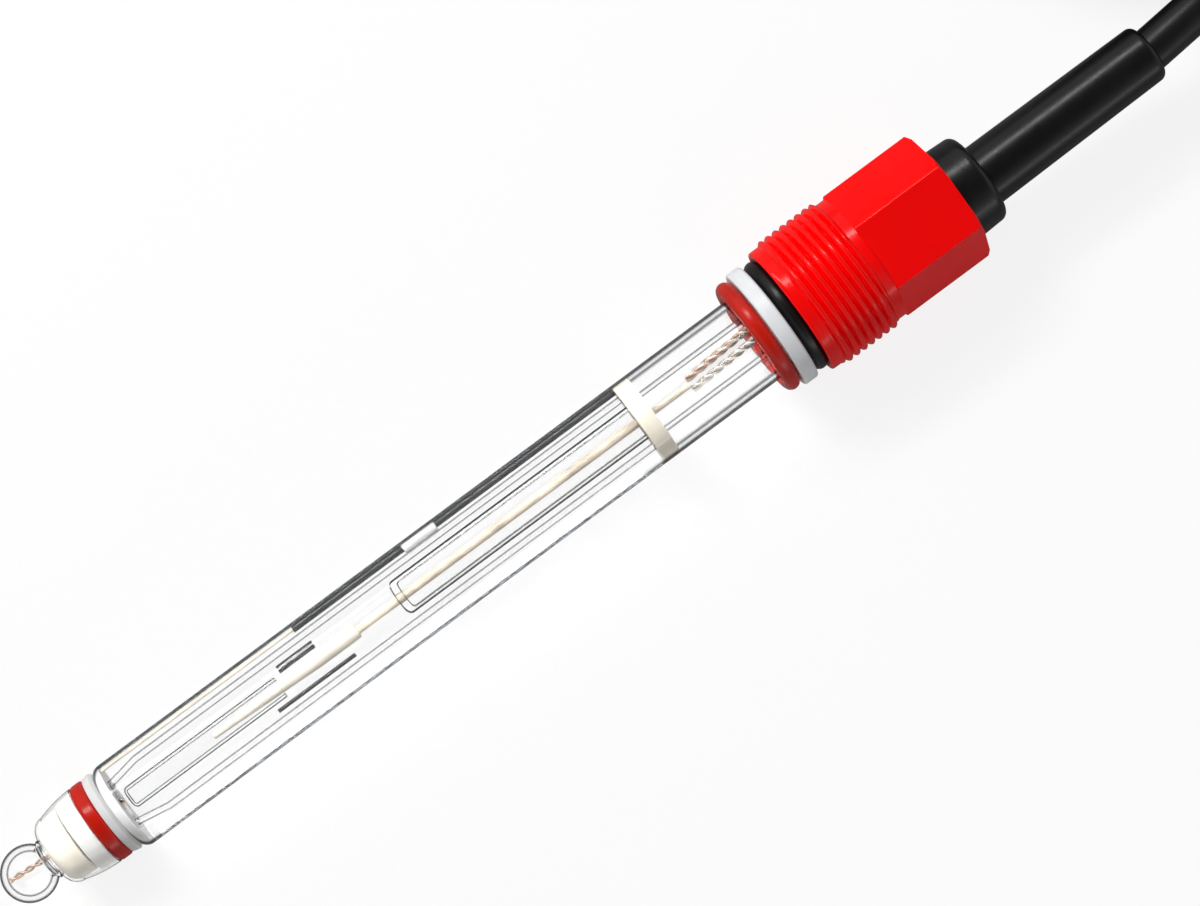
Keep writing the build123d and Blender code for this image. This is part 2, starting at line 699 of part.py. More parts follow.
def make_plug_body():
    """Turned body with the flange that the ring runs on and the sleeve of the outer contact."""
    sleeve_bore = CONTACT_SLEEVE_R - CONTACT_SLEEVE_WALL
    sleeve_end = PLUG_FACE_X + CONTACT_SLEEVE_LENGTH
    return turned(
        [
            (PLUG_BODY_X, 0, 0),
            (PLUG_BODY_X, BODY_REAR_R, BODY_ROUND),
            (PLUG_NECK_X, BODY_REAR_R, 0),
            (PLUG_NECK_X, BODY_NECK_R, 0),
            (PLUG_FLANGE_X, BODY_NECK_R, 0),
            (PLUG_FLANGE_X, BODY_FLANGE_R, 0),
            (PLUG_FACE_X, BODY_FLANGE_R, BODY_ROUND),
            (PLUG_FACE_X, CONTACT_SLEEVE_R, 0),
            (sleeve_end, CONTACT_SLEEVE_R, BODY_ROUND),
            (sleeve_end, sleeve_bore, 0),
            (PLUG_FLOOR_X, sleeve_bore, 0),
            (PLUG_FLOOR_X, 0, 0),
        ]
    )


def make_ring():
    """Bayonet ring, trapped on the body's flange, with its two slanted slots."""
    neck_r = BODY_NECK_R + RUNNING_GAP
    flange_r = BODY_FLANGE_R + RUNNING_GAP
    face_x = PLUG_FACE_X + RUNNING_GAP
    back_x = PLUG_FLANGE_X - RUNNING_GAP
    collar = turned(
        [
            (RING_X, neck_r, 0),
            (RING_X, RING_R - RING_BEVEL / 2, RING_ROUND),
            (RING_X + RING_BEVEL, RING_R, 0),
            (RING_END_X, RING_R, RING_MOUTH_ROUND),
            (RING_END_X, RING_MOUTH_R, RING_ROUND),
            (face_x, RING_MOUTH_R, 0),
            (face_x, flange_r, 0),
            (back_x, flange_r, 0),
            (back_x, neck_r, 0),
        ]
    )
    slot = extrude(Rot(0, 0, SLOT_LEAN) * SlotCenterToCenter(SLOT_LENGTH, SLOT_WIDTH), RING_R + 1)
    for side in (0, 180):
        collar -= Rot(side, 0, 0) * Pos(RING_X + SLOT_SETBACK, 0, 0) * slot
    return collar


def make_plug():
    """Bayonet plug along +X from the back of its boot."""
    ferrule_end = FERRULE_INSET + FERRULE_LENGTH
    inner_x = PLUG_FLOOR_X + FACE_GAP
    insulator_end = inner_x + INSULATOR_LENGTH
    pin_end = inner_x + PIN_LENGTH
    insulator = rod(inner_x, insulator_end, CONTACT_SLEEVE_R - CONTACT_SLEEVE_WALL - FIT_GAP)
    pin = turned([(inner_x, 0, 0), (inner_x, PIN_R, 0), (pin_end, PIN_R, PIN_R * 0.8), (pin_end, 0, 0)])
    return {
        "plug_boot": make_boot(),
        "plug_ferrule": ring(FERRULE_INSET, ferrule_end, FERRULE_R - FERRULE_WALL, FERRULE_R, FERRULE_ROUND),
        "plug_body": make_plug_body(),
        "plug_insulator": insulator - through_rod(inner_x, insulator_end, PIN_R + FACE_GAP),
        "plug_pin": pin,
        "plug_ring": make_ring(),
    }


def plug_place():
    """The plug lies on the rim of its ring, in line with the cable's last run."""
    end = Vector(CABLE_FAR[-1])
    reach = RING_X + RING_BEVEL
    pitch = math.atan2(RING_R, reach) - math.asin(end.Z / math.hypot(RING_R, reach))
    return Pos(*end) * Rot(0, 0, CABLE_YAW + 180) * Rot(0, -math.degrees(pitch), 0)


electrode = {"shaft_tube": make_shaft(), "stem_and_bulb": make_stem()}
electrode |= make_nose()
electrode |= make_stem_contents()
electrode |= make_reference_side()
electrode |= make_seals()
electrode |= make_gland()
electrode |= make_head()
rest = lying()
electrode = {name: rest * piece for name, piece in electrode.items()}
low_x = min(piece.bounding_box().min.X for piece in electrode.values())
high_x = max(piece.bounding_box().max.X for piece in electrode.values())
centred = Pos(-(low_x + high_x) / 2, 0, 0)
nodes = {name: centred * piece for name, piece in electrode.items()}
nodes |= {"cable_near": cord(CABLE_NEAR), "cable_far": cord(CABLE_FAR)}
nodes |= make_coil()
nodes |= {name: plug_place() * piece for name, piece in make_plug().items()}
nodes["cable_near"] -= nodes["strain_relief"]
nodes["cable_far"] -= nodes["plug_boot"]

exit_at = (centred * rest * sleeve_place() * Pos(SLEEVE_END_X, 0, 0)).position
print("cable leaves the strain relief at", tuple(round(v, 2) for v in exit_at))
for name, piece in nodes.items():
    export_step(piece, f"parts/{name}.step")
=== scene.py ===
"""Looks of a combination pH electrode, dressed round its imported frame. Metres, +Z up.

The glass, the wires and the gland have their sizes in millimetres along the electrode's axis: x is the
distance from the tip of the bulb, r the radius, +y the side of the coil. A Place turns them into the frame's
metres. The cable, the camera's aim and its distance are in millimetres of the frame's own axes, and the rest
of the studio is in metres.
"""

import json
import logging
import math
from dataclasses import dataclass, field
from enum import Enum
from typing import Callable, Sequence

import bpy
from mathutils import Matrix, Vector

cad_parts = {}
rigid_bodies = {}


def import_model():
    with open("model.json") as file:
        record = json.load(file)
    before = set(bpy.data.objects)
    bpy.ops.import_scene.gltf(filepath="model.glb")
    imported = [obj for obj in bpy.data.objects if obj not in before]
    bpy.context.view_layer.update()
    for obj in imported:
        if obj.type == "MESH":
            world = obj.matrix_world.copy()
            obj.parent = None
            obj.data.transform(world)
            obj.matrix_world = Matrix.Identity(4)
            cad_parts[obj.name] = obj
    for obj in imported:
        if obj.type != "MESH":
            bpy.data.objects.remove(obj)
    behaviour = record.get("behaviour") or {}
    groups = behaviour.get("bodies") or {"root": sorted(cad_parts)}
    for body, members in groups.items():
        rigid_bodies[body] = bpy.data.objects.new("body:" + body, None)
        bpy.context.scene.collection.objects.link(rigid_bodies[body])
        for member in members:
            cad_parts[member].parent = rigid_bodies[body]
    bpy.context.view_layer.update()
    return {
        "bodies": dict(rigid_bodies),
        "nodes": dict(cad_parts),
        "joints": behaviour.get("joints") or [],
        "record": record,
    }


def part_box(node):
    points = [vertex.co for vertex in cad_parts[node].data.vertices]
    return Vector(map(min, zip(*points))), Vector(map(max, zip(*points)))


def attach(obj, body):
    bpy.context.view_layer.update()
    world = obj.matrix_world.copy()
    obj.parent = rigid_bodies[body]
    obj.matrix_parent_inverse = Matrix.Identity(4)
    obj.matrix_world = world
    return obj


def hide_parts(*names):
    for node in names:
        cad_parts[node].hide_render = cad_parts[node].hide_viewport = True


log = logging.getLogger("electrode")
MM = 0.001
FULL_TURN = 2 * math.pi
# The greatest turn between two points of a rounded corner
ARC_STEP = math.radians(9)
# A corner whose half angle is this close to a quarter turn is straight
NO_BEND = 0.01
# A smaller radius lies on the axis
ON_AXIS = 1e-6
Colour = tuple[float, float, float]


class Body(Enum):
    """The bodies that the new pieces ride on."""

    ELECTRODE = "electrode"
    GLAND = "gland"


class Slot(Enum):
    """The record's material slots, passed along with the new pieces."""

    SHAFT_GLASS = "shaft_glass"
    STEM_GLASS = "stem_glass"
    WIRE = "silver_wire"
    RED = "red_plastic"
    JACKET = "cable_jacket"


class NodeBench:
    """Adds and joins the nodes of one tree."""

    def __init__(self, tree: bpy.types.NodeTree) -> None:
        """Work on a tree.

        Args:
            tree: the node tree of a material, world or group.
        """
        self.tree = tree

    def add(self, kind: str, sockets: dict | None = None, **settings: object) -> bpy.types.Node:
        """Add a node.

        Args:
            kind: the node's type name without its ShaderNode start.
            sockets: input values or sockets to join, by input name or place.
            settings: the node's own properties.

        Returns:
            The new node.
        """
        node = self.tree.nodes.new("ShaderNode" + kind)
        for name, value in settings.items():
            setattr(node, name, value)
        for name, value in (sockets or {}).items():
            if isinstance(value, bpy.types.NodeSocket):
                self.tree.links.new(value, node.inputs[name])
            else:
                node.inputs[name].default_value = value
        return node

    def math(self, operation: str, first: object, second: object = 0.0) -> bpy.types.NodeSocket:
        """Add a math node and give back its output."""
        return self.add("Math", {0: first, 1: second}, operation=operation).outputs[0]

    def noise(self, place: object, scale: object, detail: float) -> bpy.types.NodeSocket:
        """Add a noise texture and give back its value."""
        return self.add("TexNoise", {"Vector": place, "Scale": scale, "Detail": detail}).outputs["Fac"]

    def span(
        self, value: object, low: float, high: float, first: object, last: object
    ) -> bpy.types.NodeSocket:
        """Map a value from low..high to first..last."""
        sockets = {"Value": value, "From Min": low, "From Max": high, "To Min": first, "To Max": last}
        return self.add("MapRange", sockets).outputs["Result"]


def new_group(
    name: str, inputs: Sequence[tuple[str, str, object]], outputs: Sequence[tuple[str, str]]
) -> tuple:
    """Start a shader node group.

    Args:
        name: the group's name.
        inputs: name, kind and value of each input.
        outputs: name and kind of each output.

    Returns:
        The group, its bench, its input node and its output node.
    """
    group = bpy.data.node_groups.new(name, "ShaderNodeTree")
    for title, kind, value in inputs:
        socket = group.interface.new_socket(name=title, in_out="INPUT", socket_type="NodeSocket" + kind)
        socket.default_value = value
    for title, kind in outputs:
        group.interface.new_socket(name=title, in_out="OUTPUT", socket_type="NodeSocket" + kind)
    bench = NodeBench(group)
    return group, bench, group.nodes.new("NodeGroupInput"), group.nodes.new("NodeGroupOutput")


class EffectGroups:
    """The shader node groups that the finishes share, each built once.

    The scales are those of the noise textures. cloud_span and stain_span are the parts of their noise that
    change the tone, stain_tones the lightest and the darkest tone, and line_wear the lines' change of gloss.
    """

    cloud_scale = 170.0
    cloud_span = (0.3, 0.7)
    mark_scale = 700.0
    stain_scale = 380.0
    stain_span = (0.3, 0.75)
    stain_tones = (1.03, 0.86)
    line_wear = 0.16

    def __init__(self) -> None:
        """Build the groups."""
        self.skin = self.build_skin()
        self.turned = self.build_turned()
        self.drawn = self.build_drawn()

    def build_skin(self) -> bpy.types.NodeTree:
        """Moulded skin: soft tonal drift, handling marks in the gloss and a fine orange peel."""
        group, bench, source, sink = new_group(
            "moulded_skin",
            [
                ("Colour", "Color", (1.0, 1.0, 1.0, 1.0)),
                ("Drift", "Float", 0.05),
                ("Gloss", "Float", 0.3),
                ("Marks", "Float", 0.05),
                ("Grain", "Float", 2200.0),
            ],
            [("Colour", "Color"), ("Roughness", "Float"), ("Height", "Float")],
        )
        place = bench.add("TexCoord").outputs["Object"]
        broad = bench.noise(place, self.cloud_scale, 2.0)
        marks = bench.noise(place, self.mark_scale, 4.0)
        peel = bench.noise(place, source.outputs["Grain"], 2.0)
        low = bench.math("SUBTRACT", 1.0, source.outputs["Drift"])
        high = bench.math("ADD", 1.0, source.outputs["Drift"])
        shade = bench.span(broad, *self.cloud_span, low, high)
        tinted = bench.add("VectorMath", {0: source.outputs["Colour"], "Scale": shade}, operation="SCALE")
        spread = bench.math("MULTIPLY", bench.math("SUBTRACT", marks, 0.5), source.outputs["Marks"])
        rough = bench.math("ADD", source.outputs["Gloss"], spread)
        bench.tree.links.new(tinted.outputs["Vector"], sink.inputs["Colour"])
        bench.tree.links.new(rough, sink.inputs["Roughness"])
        bench.tree.links.new(peel, sink.inputs["Height"])
        return group

    def build_turned(self) -> bpy.types.NodeTree:
        """Turned or drawn metal: fine lines round the axis with a little tonal change."""
        group, bench, source, sink = new_group(
            "turned_lines",
            [("Colour", "Color", (1.0, 1.0, 1.0, 1.0)), ("Gloss", "Float", 0.25), ("Lines", "Float", 3500.0)],
            [("Colour", "Color"), ("Roughness", "Float"), ("Height", "Float")],
        )
        place = bench.add("TexCoord").outputs["Object"]
        along = bench.add("SeparateXYZ", {0: place}).outputs["X"]
        pitch = {"W": along, "Scale": source.outputs["Lines"]}
        lines = bench.add("TexNoise", pitch, noise_dimensions="1D").outputs[0]
        stain = bench.noise(place, self.stain_scale, 3.0)
        shade = bench.span(stain, *self.stain_span, *self.stain_tones)
        tinted = bench.add("VectorMath", {0: source.outputs["Colour"], "Scale": shade}, operation="SCALE")
        wear = bench.math("MULTIPLY", bench.math("SUBTRACT", lines, 0.5), self.line_wear)
        rough = bench.math("ADD", source.outputs["Gloss"], wear)
        bench.tree.links.new(tinted.outputs["Vector"], sink.inputs["Colour"])
        bench.tree.links.new(rough, sink.inputs["Roughness"])
        bench.tree.links.new(lines, sink.inputs["Height"])
        return group

    def build_drawn(self) -> bpy.types.NodeTree:
        """Drawn glass: long shallow waves along the tube."""
        group, bench, source, sink = new_group(
            "drawn_glass", [("Waves", "Float", 260.0), ("Stretch", "Float", 0.04)], [("Height", "Float")]
        )
        place = bench.add("TexCoord").outputs["Object"]
        squeeze = bench.add("CombineXYZ", {"X": source.outputs["Stretch"], "Y": 1.0, "Z": 1.0}).outputs[0]
        long_way = bench.add("VectorMath", {0: place, 1: squeeze}, operation="MULTIPLY").outputs[0]
        waves = bench.noise(long_way, source.outputs["Waves"], 1.0)
        bench.tree.links.new(waves, sink.inputs["Height"])
        return group


@dataclass(frozen=True)
class MouldedFinish:
    """Plastic, rubber or ceramic with a moulded skin.

    drift is the change of tone and marks the wear in the gloss. grain is the scale of the orange peel, bump
    its depth in metres and relief its strength. inside is the share of light that enters, inside_reach how
    far it goes in millimetres, and inside_colour how much of that red, green and blue each go.
    """

    name: str
    colour: Colour
    gloss: float
    drift: float = 0.05
    marks: float = 0.06
    grain: float = 2200.0
    bump: float = 0.000004
    specular: float = 0.5
    inside: float = 0.0
    inside_reach: float = 0.6
    inside_colour: Colour = (1.0, 0.9, 0.8)
    relief: float = 0.35

    def material(self, groups: EffectGroups) -> bpy.types.Material:
        """Build the material.

        Args:
            groups: the shared node groups.

        Returns:
            The new material.
        """
        made, bench, shader = new_material(self.name)
        skin = bench.add("Group", node_tree=groups.skin)
        for name, value in (("Colour", (*self.colour, 1.0)), ("Drift", self.drift), ("Gloss", self.gloss)):
            skin.inputs[name].default_value = value
        skin.inputs["Marks"].default_value = self.marks
        skin.inputs["Grain"].default_value = self.grain
        height = skin.outputs["Height"]
        peel = bench.add("Bump", {"Height": height, "Strength": self.relief, "Distance": self.bump})
        bench.tree.links.new(skin.outputs["Colour"], shader.inputs["Base Color"])
        bench.tree.links.new(skin.outputs["Roughness"], shader.inputs["Roughness"])
        bench.tree.links.new(peel.outputs["Normal"], shader.inputs["Normal"])
        shader.inputs["Specular IOR Level"].default_value = self.specular
        shader.inputs["Subsurface Weight"].default_value = self.inside
        shader.inputs["Subsurface Radius"].default_value = self.inside_colour
        shader.inputs["Subsurface Scale"].default_value = self.inside_reach * MM
        return made


@dataclass(frozen=True)
class MetalFinish:
    """Turned, drawn or plated metal.

    lines is the scale of the fine lines, bump their depth in metres and relief their strength.
    """

    name: str
    colour: Colour
    gloss: float
    lines: float = 3500.0
    bump: float = 0.000003
    relief: float = 0.2

    def material(self, groups: EffectGroups) -> bpy.types.Material:
        """Build the material.

        Args:
            groups: the shared node groups.

        Returns:
            The new material.
        """
        made, bench, shader = new_material(self.name)
        lines = bench.add("Group", node_tree=groups.turned)
        lines.inputs["Colour"].default_value = (*self.colour, 1.0)
        lines.inputs["Gloss"].default_value = self.gloss
        lines.inputs["Lines"].default_value = self.lines
        height = lines.outputs["Height"]
        scratch = bench.add("Bump", {"Height": height, "Strength": self.relief, "Distance": self.bump})
        bench.tree.links.new(lines.outputs["Colour"], shader.inputs["Base Color"])
        bench.tree.links.new(lines.outputs["Roughness"], shader.inputs["Roughness"])
        bench.tree.links.new(scratch.outputs["Normal"], shader.inputs["Normal"])
        shader.inputs["Metallic"].default_value = 1.0
        return made


@dataclass(frozen=True)
class GlassFinish:
    """Clear glass.

    ior is against what lies on its far side, air or the filling. edge is painted shade: a dark colour laid on
    glass that is seen slanted, from edge_from to edge_full of the Layer Weight's facing, in place of the dark
    surroundings that slanted glass mirrors and bends. straight is the share of the light that passes unbent,
    as through a thin wall. bump is the waves' depth in metres and relief their strength.
    """

    name: str
    ior: float
    tint: Colour = (1.0, 1.0, 1.0)
    edge: Colour = (0.006, 0.007, 0.008)
    edge_from: float = 0.52
    edge_full: float = 0.66
    straight: float = 0.0
    bump: float = 0.000006
    relief: float = 0.3

    def material(self, groups: EffectGroups) -> bpy.types.Material:
        """Build the material, which lets the lamps through to what it holds.

        Args:
            groups: the shared node groups.

        Returns:
            The new material.
        """
        made, bench, shader = new_material(self.name)
        waves = bench.add("Group", node_tree=groups.drawn)
        height = waves.outputs["Height"]
        ripple = bench.add("Bump", {"Height": height, "Strength": self.relief, "Distance": self.bump})
        bench.tree.links.new(ripple.outputs["Normal"], shader.inputs["Normal"])
        # Painted shade: the colour darkens from edge_from to edge_full of the facing, in place of the dark
        # surroundings that slanted glass mirrors and bends; drawn is the tint with this painted shade
        slant = bench.add("LayerWeight", {"Blend": 0.5}).outputs["Facing"]
        depth = bench.span(slant, self.edge_from, self.edge_full, 0.0, 1.0)
        drawn = bench.add("Mix", {0: depth, 6: (*self.tint, 1.0), 7: (*self.edge, 1.0)}, data_type="RGBA")
        bench.tree.links.new(drawn.outputs[2], shader.inputs["Base Color"])
        shader.inputs["Roughness"].default_value = 0.0
        shader.inputs["IOR"].default_value = self.ior
        shader.inputs["Transmission Weight"].default_value = 1.0
        clear = bench.add("BsdfTransparent", {"Color": (*self.tint, 1.0)})
        path = bench.add("LightPath")
        passed = path.outputs["Is Shadow Ray"]
        # With a straight share, the light that passes takes the same colour with its painted edge shade
        if self.straight:
            passed = bench.math("MAXIMUM", passed, self.straight)
            bench.tree.links.new(drawn.outputs[2], clear.inputs["Color"])
        mixed = bench.add("MixShader", {0: passed, 1: shader.outputs[0], 2: clear.outputs[0]})
        bench.tree.links.new(mixed.outputs[0], made.node_tree.nodes["Material Output"].inputs["Surface"])
        return made


def new_material(name: str) -> tuple[bpy.types.Material, NodeBench, bpy.types.Node]:
    """Start a material on a Principled BSDF.

    Args:
        name: the material's name.

    Returns:
        The material, its bench and its shader.
    """
    made = bpy.data.materials.new(name)
    made.use_nodes = True
    return made, NodeBench(made.node_tree), made.node_tree.nodes["Principled BSDF"]


FINISHES = {
    # Each glass finish's edge colour is painted shade on glass that is seen slanted
    "dry_glass": GlassFinish("dry_glass", 1.47),
    "wet_glass": GlassFinish("wet_glass", 1.105, edge=(0.02, 0.022, 0.024), edge_from=0.6, edge_full=0.74),
    "thin_glass": GlassFinish(
        "thin_glass", 1.105, edge=(0.01, 0.011, 0.012), edge_from=0.5, edge_full=0.7, straight=0.9
    ),
    "skirt": GlassFinish(
        "skirt_clear", 1.30, (0.99, 0.985, 0.975), edge=(0.3, 0.3, 0.3), edge_from=0.7, edge_full=0.86
    ),
    "ivory": MouldedFinish("ivory_ceramic", (0.80, 0.765, 0.68), 0.42, inside=0.25),
    "white": MouldedFinish("white_ptfe", (0.82, 0.82, 0.815), 0.38, inside=0.2),
    "washer": MouldedFinish("washer_white", (0.84, 0.86, 0.88), 0.36, inside=0.2),
    "silicone": MouldedFinish(
        "red_silicone", (0.56, 0.008, 0.0005), 0.25, drift=0.12, inside=0.1, grain=1500.0
    ),
    "septum": MouldedFinish("septum_cream", (0.83, 0.77, 0.66), 0.45, inside=0.15),
    "dark_rod": MouldedFinish("dark_rod", (0.03, 0.031, 0.033), 0.3, drift=0.4),
    "wick": MouldedFinish("wick_fibre", (0.82, 0.755, 0.645), 0.6, drift=0.1, grain=5200.0, bump=0.00002),
    "lead": MouldedFinish("lead_sheath", (0.70, 0.60, 0.48), 0.45, drift=0.35, grain=3200.0, bump=0.00001),
    "rubber": MouldedFinish("black_rubber", (0.005, 0.005, 0.0055), 0.3, drift=0.25, marks=0.16),
    "red": MouldedFinish("gland_red", (1.0, 0.0, 0.0), 0.2, drift=0.03, specular=0.35),
    "black": MouldedFinish("head_black", (0.0045, 0.0045, 0.005), 0.3, drift=0.25, marks=0.18),
    "jacket": MouldedFinish("cable_jacket", (0.006, 0.006, 0.0065), 0.36, drift=0.2, marks=0.14),
    "insulator": MouldedFinish("plug_insulator", (0.88, 0.88, 0.86), 0.35, inside=0.2),
    "silver": MetalFinish("silver_wire", (0.78, 0.74, 0.68), 0.28),
    "copper": MetalFinish("copper_strand", (0.52, 0.36, 0.27), 0.3),
    "nickel": MetalFinish("nickel_plate", (0.72, 0.71, 0.68), 0.22),
    "gold": MetalFinish("gold_plate", (0.93, 0.66, 0.27), 0.2),
}


class Palette:
    """Hands out the finishes' materials, each built once."""

    def __init__(self) -> None:
        """Start with the groups and no material."""
        self.groups = EffectGroups()
        self.made: dict[str, bpy.types.Material] = {}

    def __getitem__(self, name: str) -> bpy.types.Material:
        """The material of a finish, by its name in FINISHES."""
        if name not in self.made:
            self.made[name] = FINISHES[name].material(self.groups)
        return self.made[name]


@dataclass(frozen=True)
class Corner:
    """A corner of a turned outline; wet says that the stretch after it meets the filling."""

    x: float
    r: float
    rounding: float = 0.0
    wet: bool = False


@dataclass(frozen=True)
class Place:
    """Turns a class's own millimetres into the frame's metres."""

    matrix: Matrix

    def shifted(self, y: float) -> "Place":
        """The same place moved sideways, in millimetres."""
        return Place(self.matrix @ Matrix.Translation((0.0, y, 0.0)))

    def point(self, x: float, y: float = 0.0, z: float = 0.0) -> Vector:
        """A point in the frame's metres."""
        return self.matrix @ Vector((x, y, z))


def rounded(corner: tuple, before: tuple, after: tuple, radius: float) -> list[tuple[float, float]]:
    """Points of the arc that rounds a corner.

    Args:
        corner: the corner's x and r.
        before: the corner before it.
        after: the corner after it.
        radius: the arc's radius.

    Returns:
        The arc's points, or the corner alone where nothing is rounded.
    """
    here = Vector(corner)
    back, on = (Vector(before) - here).normalized(), (Vector(after) - here).normalized()
    half = back.angle(on) / 2
    if radius <= 0 or half > math.pi / 2 - NO_BEND:
        return [corner]
    centre = here + (back + on).normalized() * radius / math.sin(half)
    first = here + back * radius / math.tan(half) - centre
    last = here + on * radius / math.tan(half) - centre
    steps = max(3, math.ceil((math.pi - 2 * half) / ARC_STEP))
    sweep = first.angle_signed(last)
    points = []
    for k in range(steps + 1):
        turn = -sweep * k / steps
        c, s = math.cos(turn), math.sin(turn)
        points.append((centre.x + c * first.x - s * first.y, centre.y + s * first.x + c * first.y))
    return points


def arc_corners(start: tuple, middle: tuple, end: tuple, steps: int, wet: bool = False) -> list[Corner]:
    """Corners along the arc through three points.

    Args:
        start: first x and r.
        middle: a point on the arc.
        end: last x and r.
        steps: how many parts the arc has.
        wet: whether the arc meets the filling.

    Returns:
        The corners, the end one included.
    """
    (ax, ay), (bx, by), (cx, cy) = start, middle, end
    d = 2 * (ax * (by - cy) + bx * (cy - ay) + cx * (ay - by))
    ux = ((ax**2 + ay**2) * (by - cy) + (bx**2 + by**2) * (cy - ay) + (cx**2 + cy**2) * (ay - by)) / d
    uy = ((ax**2 + ay**2) * (cx - bx) + (bx**2 + by**2) * (ax - cx) + (cx**2 + cy**2) * (bx - ax)) / d
    radius = math.hypot(ax - ux, ay - uy)
    first, mid, last = (math.atan2(y - uy, x - ux) for x, y in (start, middle, end))
    whole = (last - first) % FULL_TURN
    if (mid - first) % FULL_TURN > whole:
        whole -= FULL_TURN
    turns = [first + whole * k / steps for k in range(steps + 1)]
    return [Corner(ux + radius * math.cos(a), max(0.0, uy + radius * math.sin(a)), 0.0, wet) for a in turns]


def outline_points(corners: Sequence[Corner]) -> tuple[list[tuple[float, float]], list[bool]]:
    """Round an outline's corners.

    Args:
        corners: the corners in order; the outline closes on itself.

    Returns:
        The points, and for each whether the stretch after it is wet.
    """
    points: list[tuple[float, float]] = []
    wet: list[bool] = []
    for k, corner in enumerate(corners):
        before, after = corners[k - 1], corners[(k + 1) % len(corners)]
        arc = rounded((corner.x, corner.r), (before.x, before.r), (after.x, after.r), corner.rounding)
        points += arc
        wet += [corner.wet] * len(arc)
    return points, wet


def finish_mesh(name: str, vertices: list, faces: list, sharp_deg: float = 32.0) -> bpy.types.Object:
    """Make an object of a mesh, smooth but for its sharp edges.

    Args:
        name: the piece's name.
        vertices: points in the frame's metres.
        faces: lists of vertex places.
        sharp_deg: the least angle of an edge that stays sharp.

    Returns:
        The new object.
    """
    mesh = bpy.data.meshes.new(name)
    mesh.from_pydata(vertices, [], faces)
    mesh.validate()
    mesh.shade_smooth()
    mesh.set_sharp_from_angle(angle=math.radians(sharp_deg))
    made = bpy.data.objects.new(name, mesh)
    bpy.context.scene.collection.objects.link(made)
    return made


def turned(name: str, corners: Sequence[Corner], place: Place, segments: int = 96) -> bpy.types.Object:
    """Turn an outline about the axis.

    Args:
        name: the piece's name.
        corners: the closed outline; corners at r 0 lie on the axis.
        place: where the axis lies.
        segments: how many parts a turn has.

    Returns:
        The piece, its wet faces in material slot 1 if it has any.
    """
    points, wet = outline_points(corners)
    vertices, rings = [], []
    for x, r in points:
        if r < ON_AXIS:
            rings.append([len(vertices)])
            vertices.append(place.point(x))
            continue
        rings.append(list(range(len(vertices), len(vertices) + segments)))
        for k in range(segments):
            turn = FULL_TURN * k / segments
            vertices.append(place.point(x, r * math.cos(turn), r * math.sin(turn)))
    faces, slots = [], []
    for k, ring in enumerate(rings):
        onward = rings[(k + 1) % len(rings)]
        if len(ring) == 1 and len(onward) == 1:
            continue
        for j in range(segments):
            a, b = ring[j % len(ring)], ring[(j + 1) % len(ring)]
            c, d = onward[(j + 1) % len(onward)], onward[j % len(onward)]
            faces.append(list(dict.fromkeys((a, b, c, d))))
            slots.append(int(wet[k]))
    made = finish_mesh(name, vertices, faces)
    made.data.polygons.foreach_set("material_index", slots)
    outward(made, points, place)
    return made


def outward(piece: bpy.types.Object, points: Sequence[tuple[float, float]], place: Place) -> None:
    """Turn a closed outline's faces outward.

    Args:
        piece: the turned piece.
        points: its outline.
        place: where its axis lies.
    """
    area = sum(ax * by - bx * ay for (ax, ay), (bx, by) in zip(points, [*points[1:], points[0]]))
    if (area > 0) == (place.matrix.determinant() > 0):
        piece.data.flip_normals()


@dataclass
class Workshop:
    """What every sub-assembly is built with."""

    frame: dict
    palette: Palette
    electrode: Place

    def dress(
        self,
        piece: bpy.types.Object,
        finishes: Sequence[str],
        slot: Slot,
        stands_for: Sequence[str] = (),
        body: Body = Body.ELECTRODE,
    ) -> bpy.types.Object:
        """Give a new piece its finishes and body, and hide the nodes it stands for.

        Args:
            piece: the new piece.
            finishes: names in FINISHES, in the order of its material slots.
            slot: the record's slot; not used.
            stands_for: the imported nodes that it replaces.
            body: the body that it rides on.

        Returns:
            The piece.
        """
        for name in finishes:
            piece.data.materials.append(self.palette[name])
        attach(piece, body.value)
        if stands_for:
            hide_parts(*stands_for)
        replaced = ", ".join(stands_for) or "nothing"
        log.info("%s: %s, stands for %s", piece.name, ", ".join(finishes), replaced)
        return piece

    def paint(self, node: str, finish: str) -> bpy.types.Object:
        """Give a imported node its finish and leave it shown.

        Args:
            node: the node's name.
            finish: a name in FINISHES.

        Returns:
            The node's object.
        """
        piece = self.frame["nodes"][node]
        for holder in piece.material_slots:
            holder.material = self.palette[finish]
        log.info("%s: packed node in %s", node, finish)
        return piece


def through_glass(bench: NodeBench, path: bpy.types.Node) -> bpy.types.NodeSocket:
    """Mask of what is seen through glass, without the light that falls through it on the pieces inside.

    Args:
        bench: the bench of the floor's or the world's tree.
        path: its Light Path node.

    Returns:
        The mask's socket.
    """
    first = bench.math("SUBTRACT", 1.0, bench.math("MINIMUM", path.outputs["Diffuse Depth"], 1.0))
    return bench.math("MULTIPLY", path.outputs["Is Transmission Ray"], first)


@dataclass(frozen=True)
class Lamp:
    """An area lamp, in metres; glossy says whether gloss shows it."""

    name: str
    spot: tuple[float, float, float]
    sides: tuple[float, float]
    watts: float
    glossy: bool

    def hang(self, target: tuple[float, float, float]) -> None:
        """Hang it so that it faces the target.

        Args:
            target: the point that it faces.
        """
        data = bpy.data.lights.new(self.name, "AREA")
        data.shape = "RECTANGLE"
        data.size, data.size_y = self.sides
        data.energy = self.watts
        lamp = bpy.data.objects.new(self.name, data)
        lamp.visible_glossy = self.glossy
        lamp.location = self.spot
        lamp.rotation_euler = (Vector(target) - Vector(self.spot)).to_track_quat("-Z", "Y").to_euler()
        bpy.context.scene.collection.objects.link(lamp)
        log.info("lamp %s: %.2f W", self.name, self.watts)


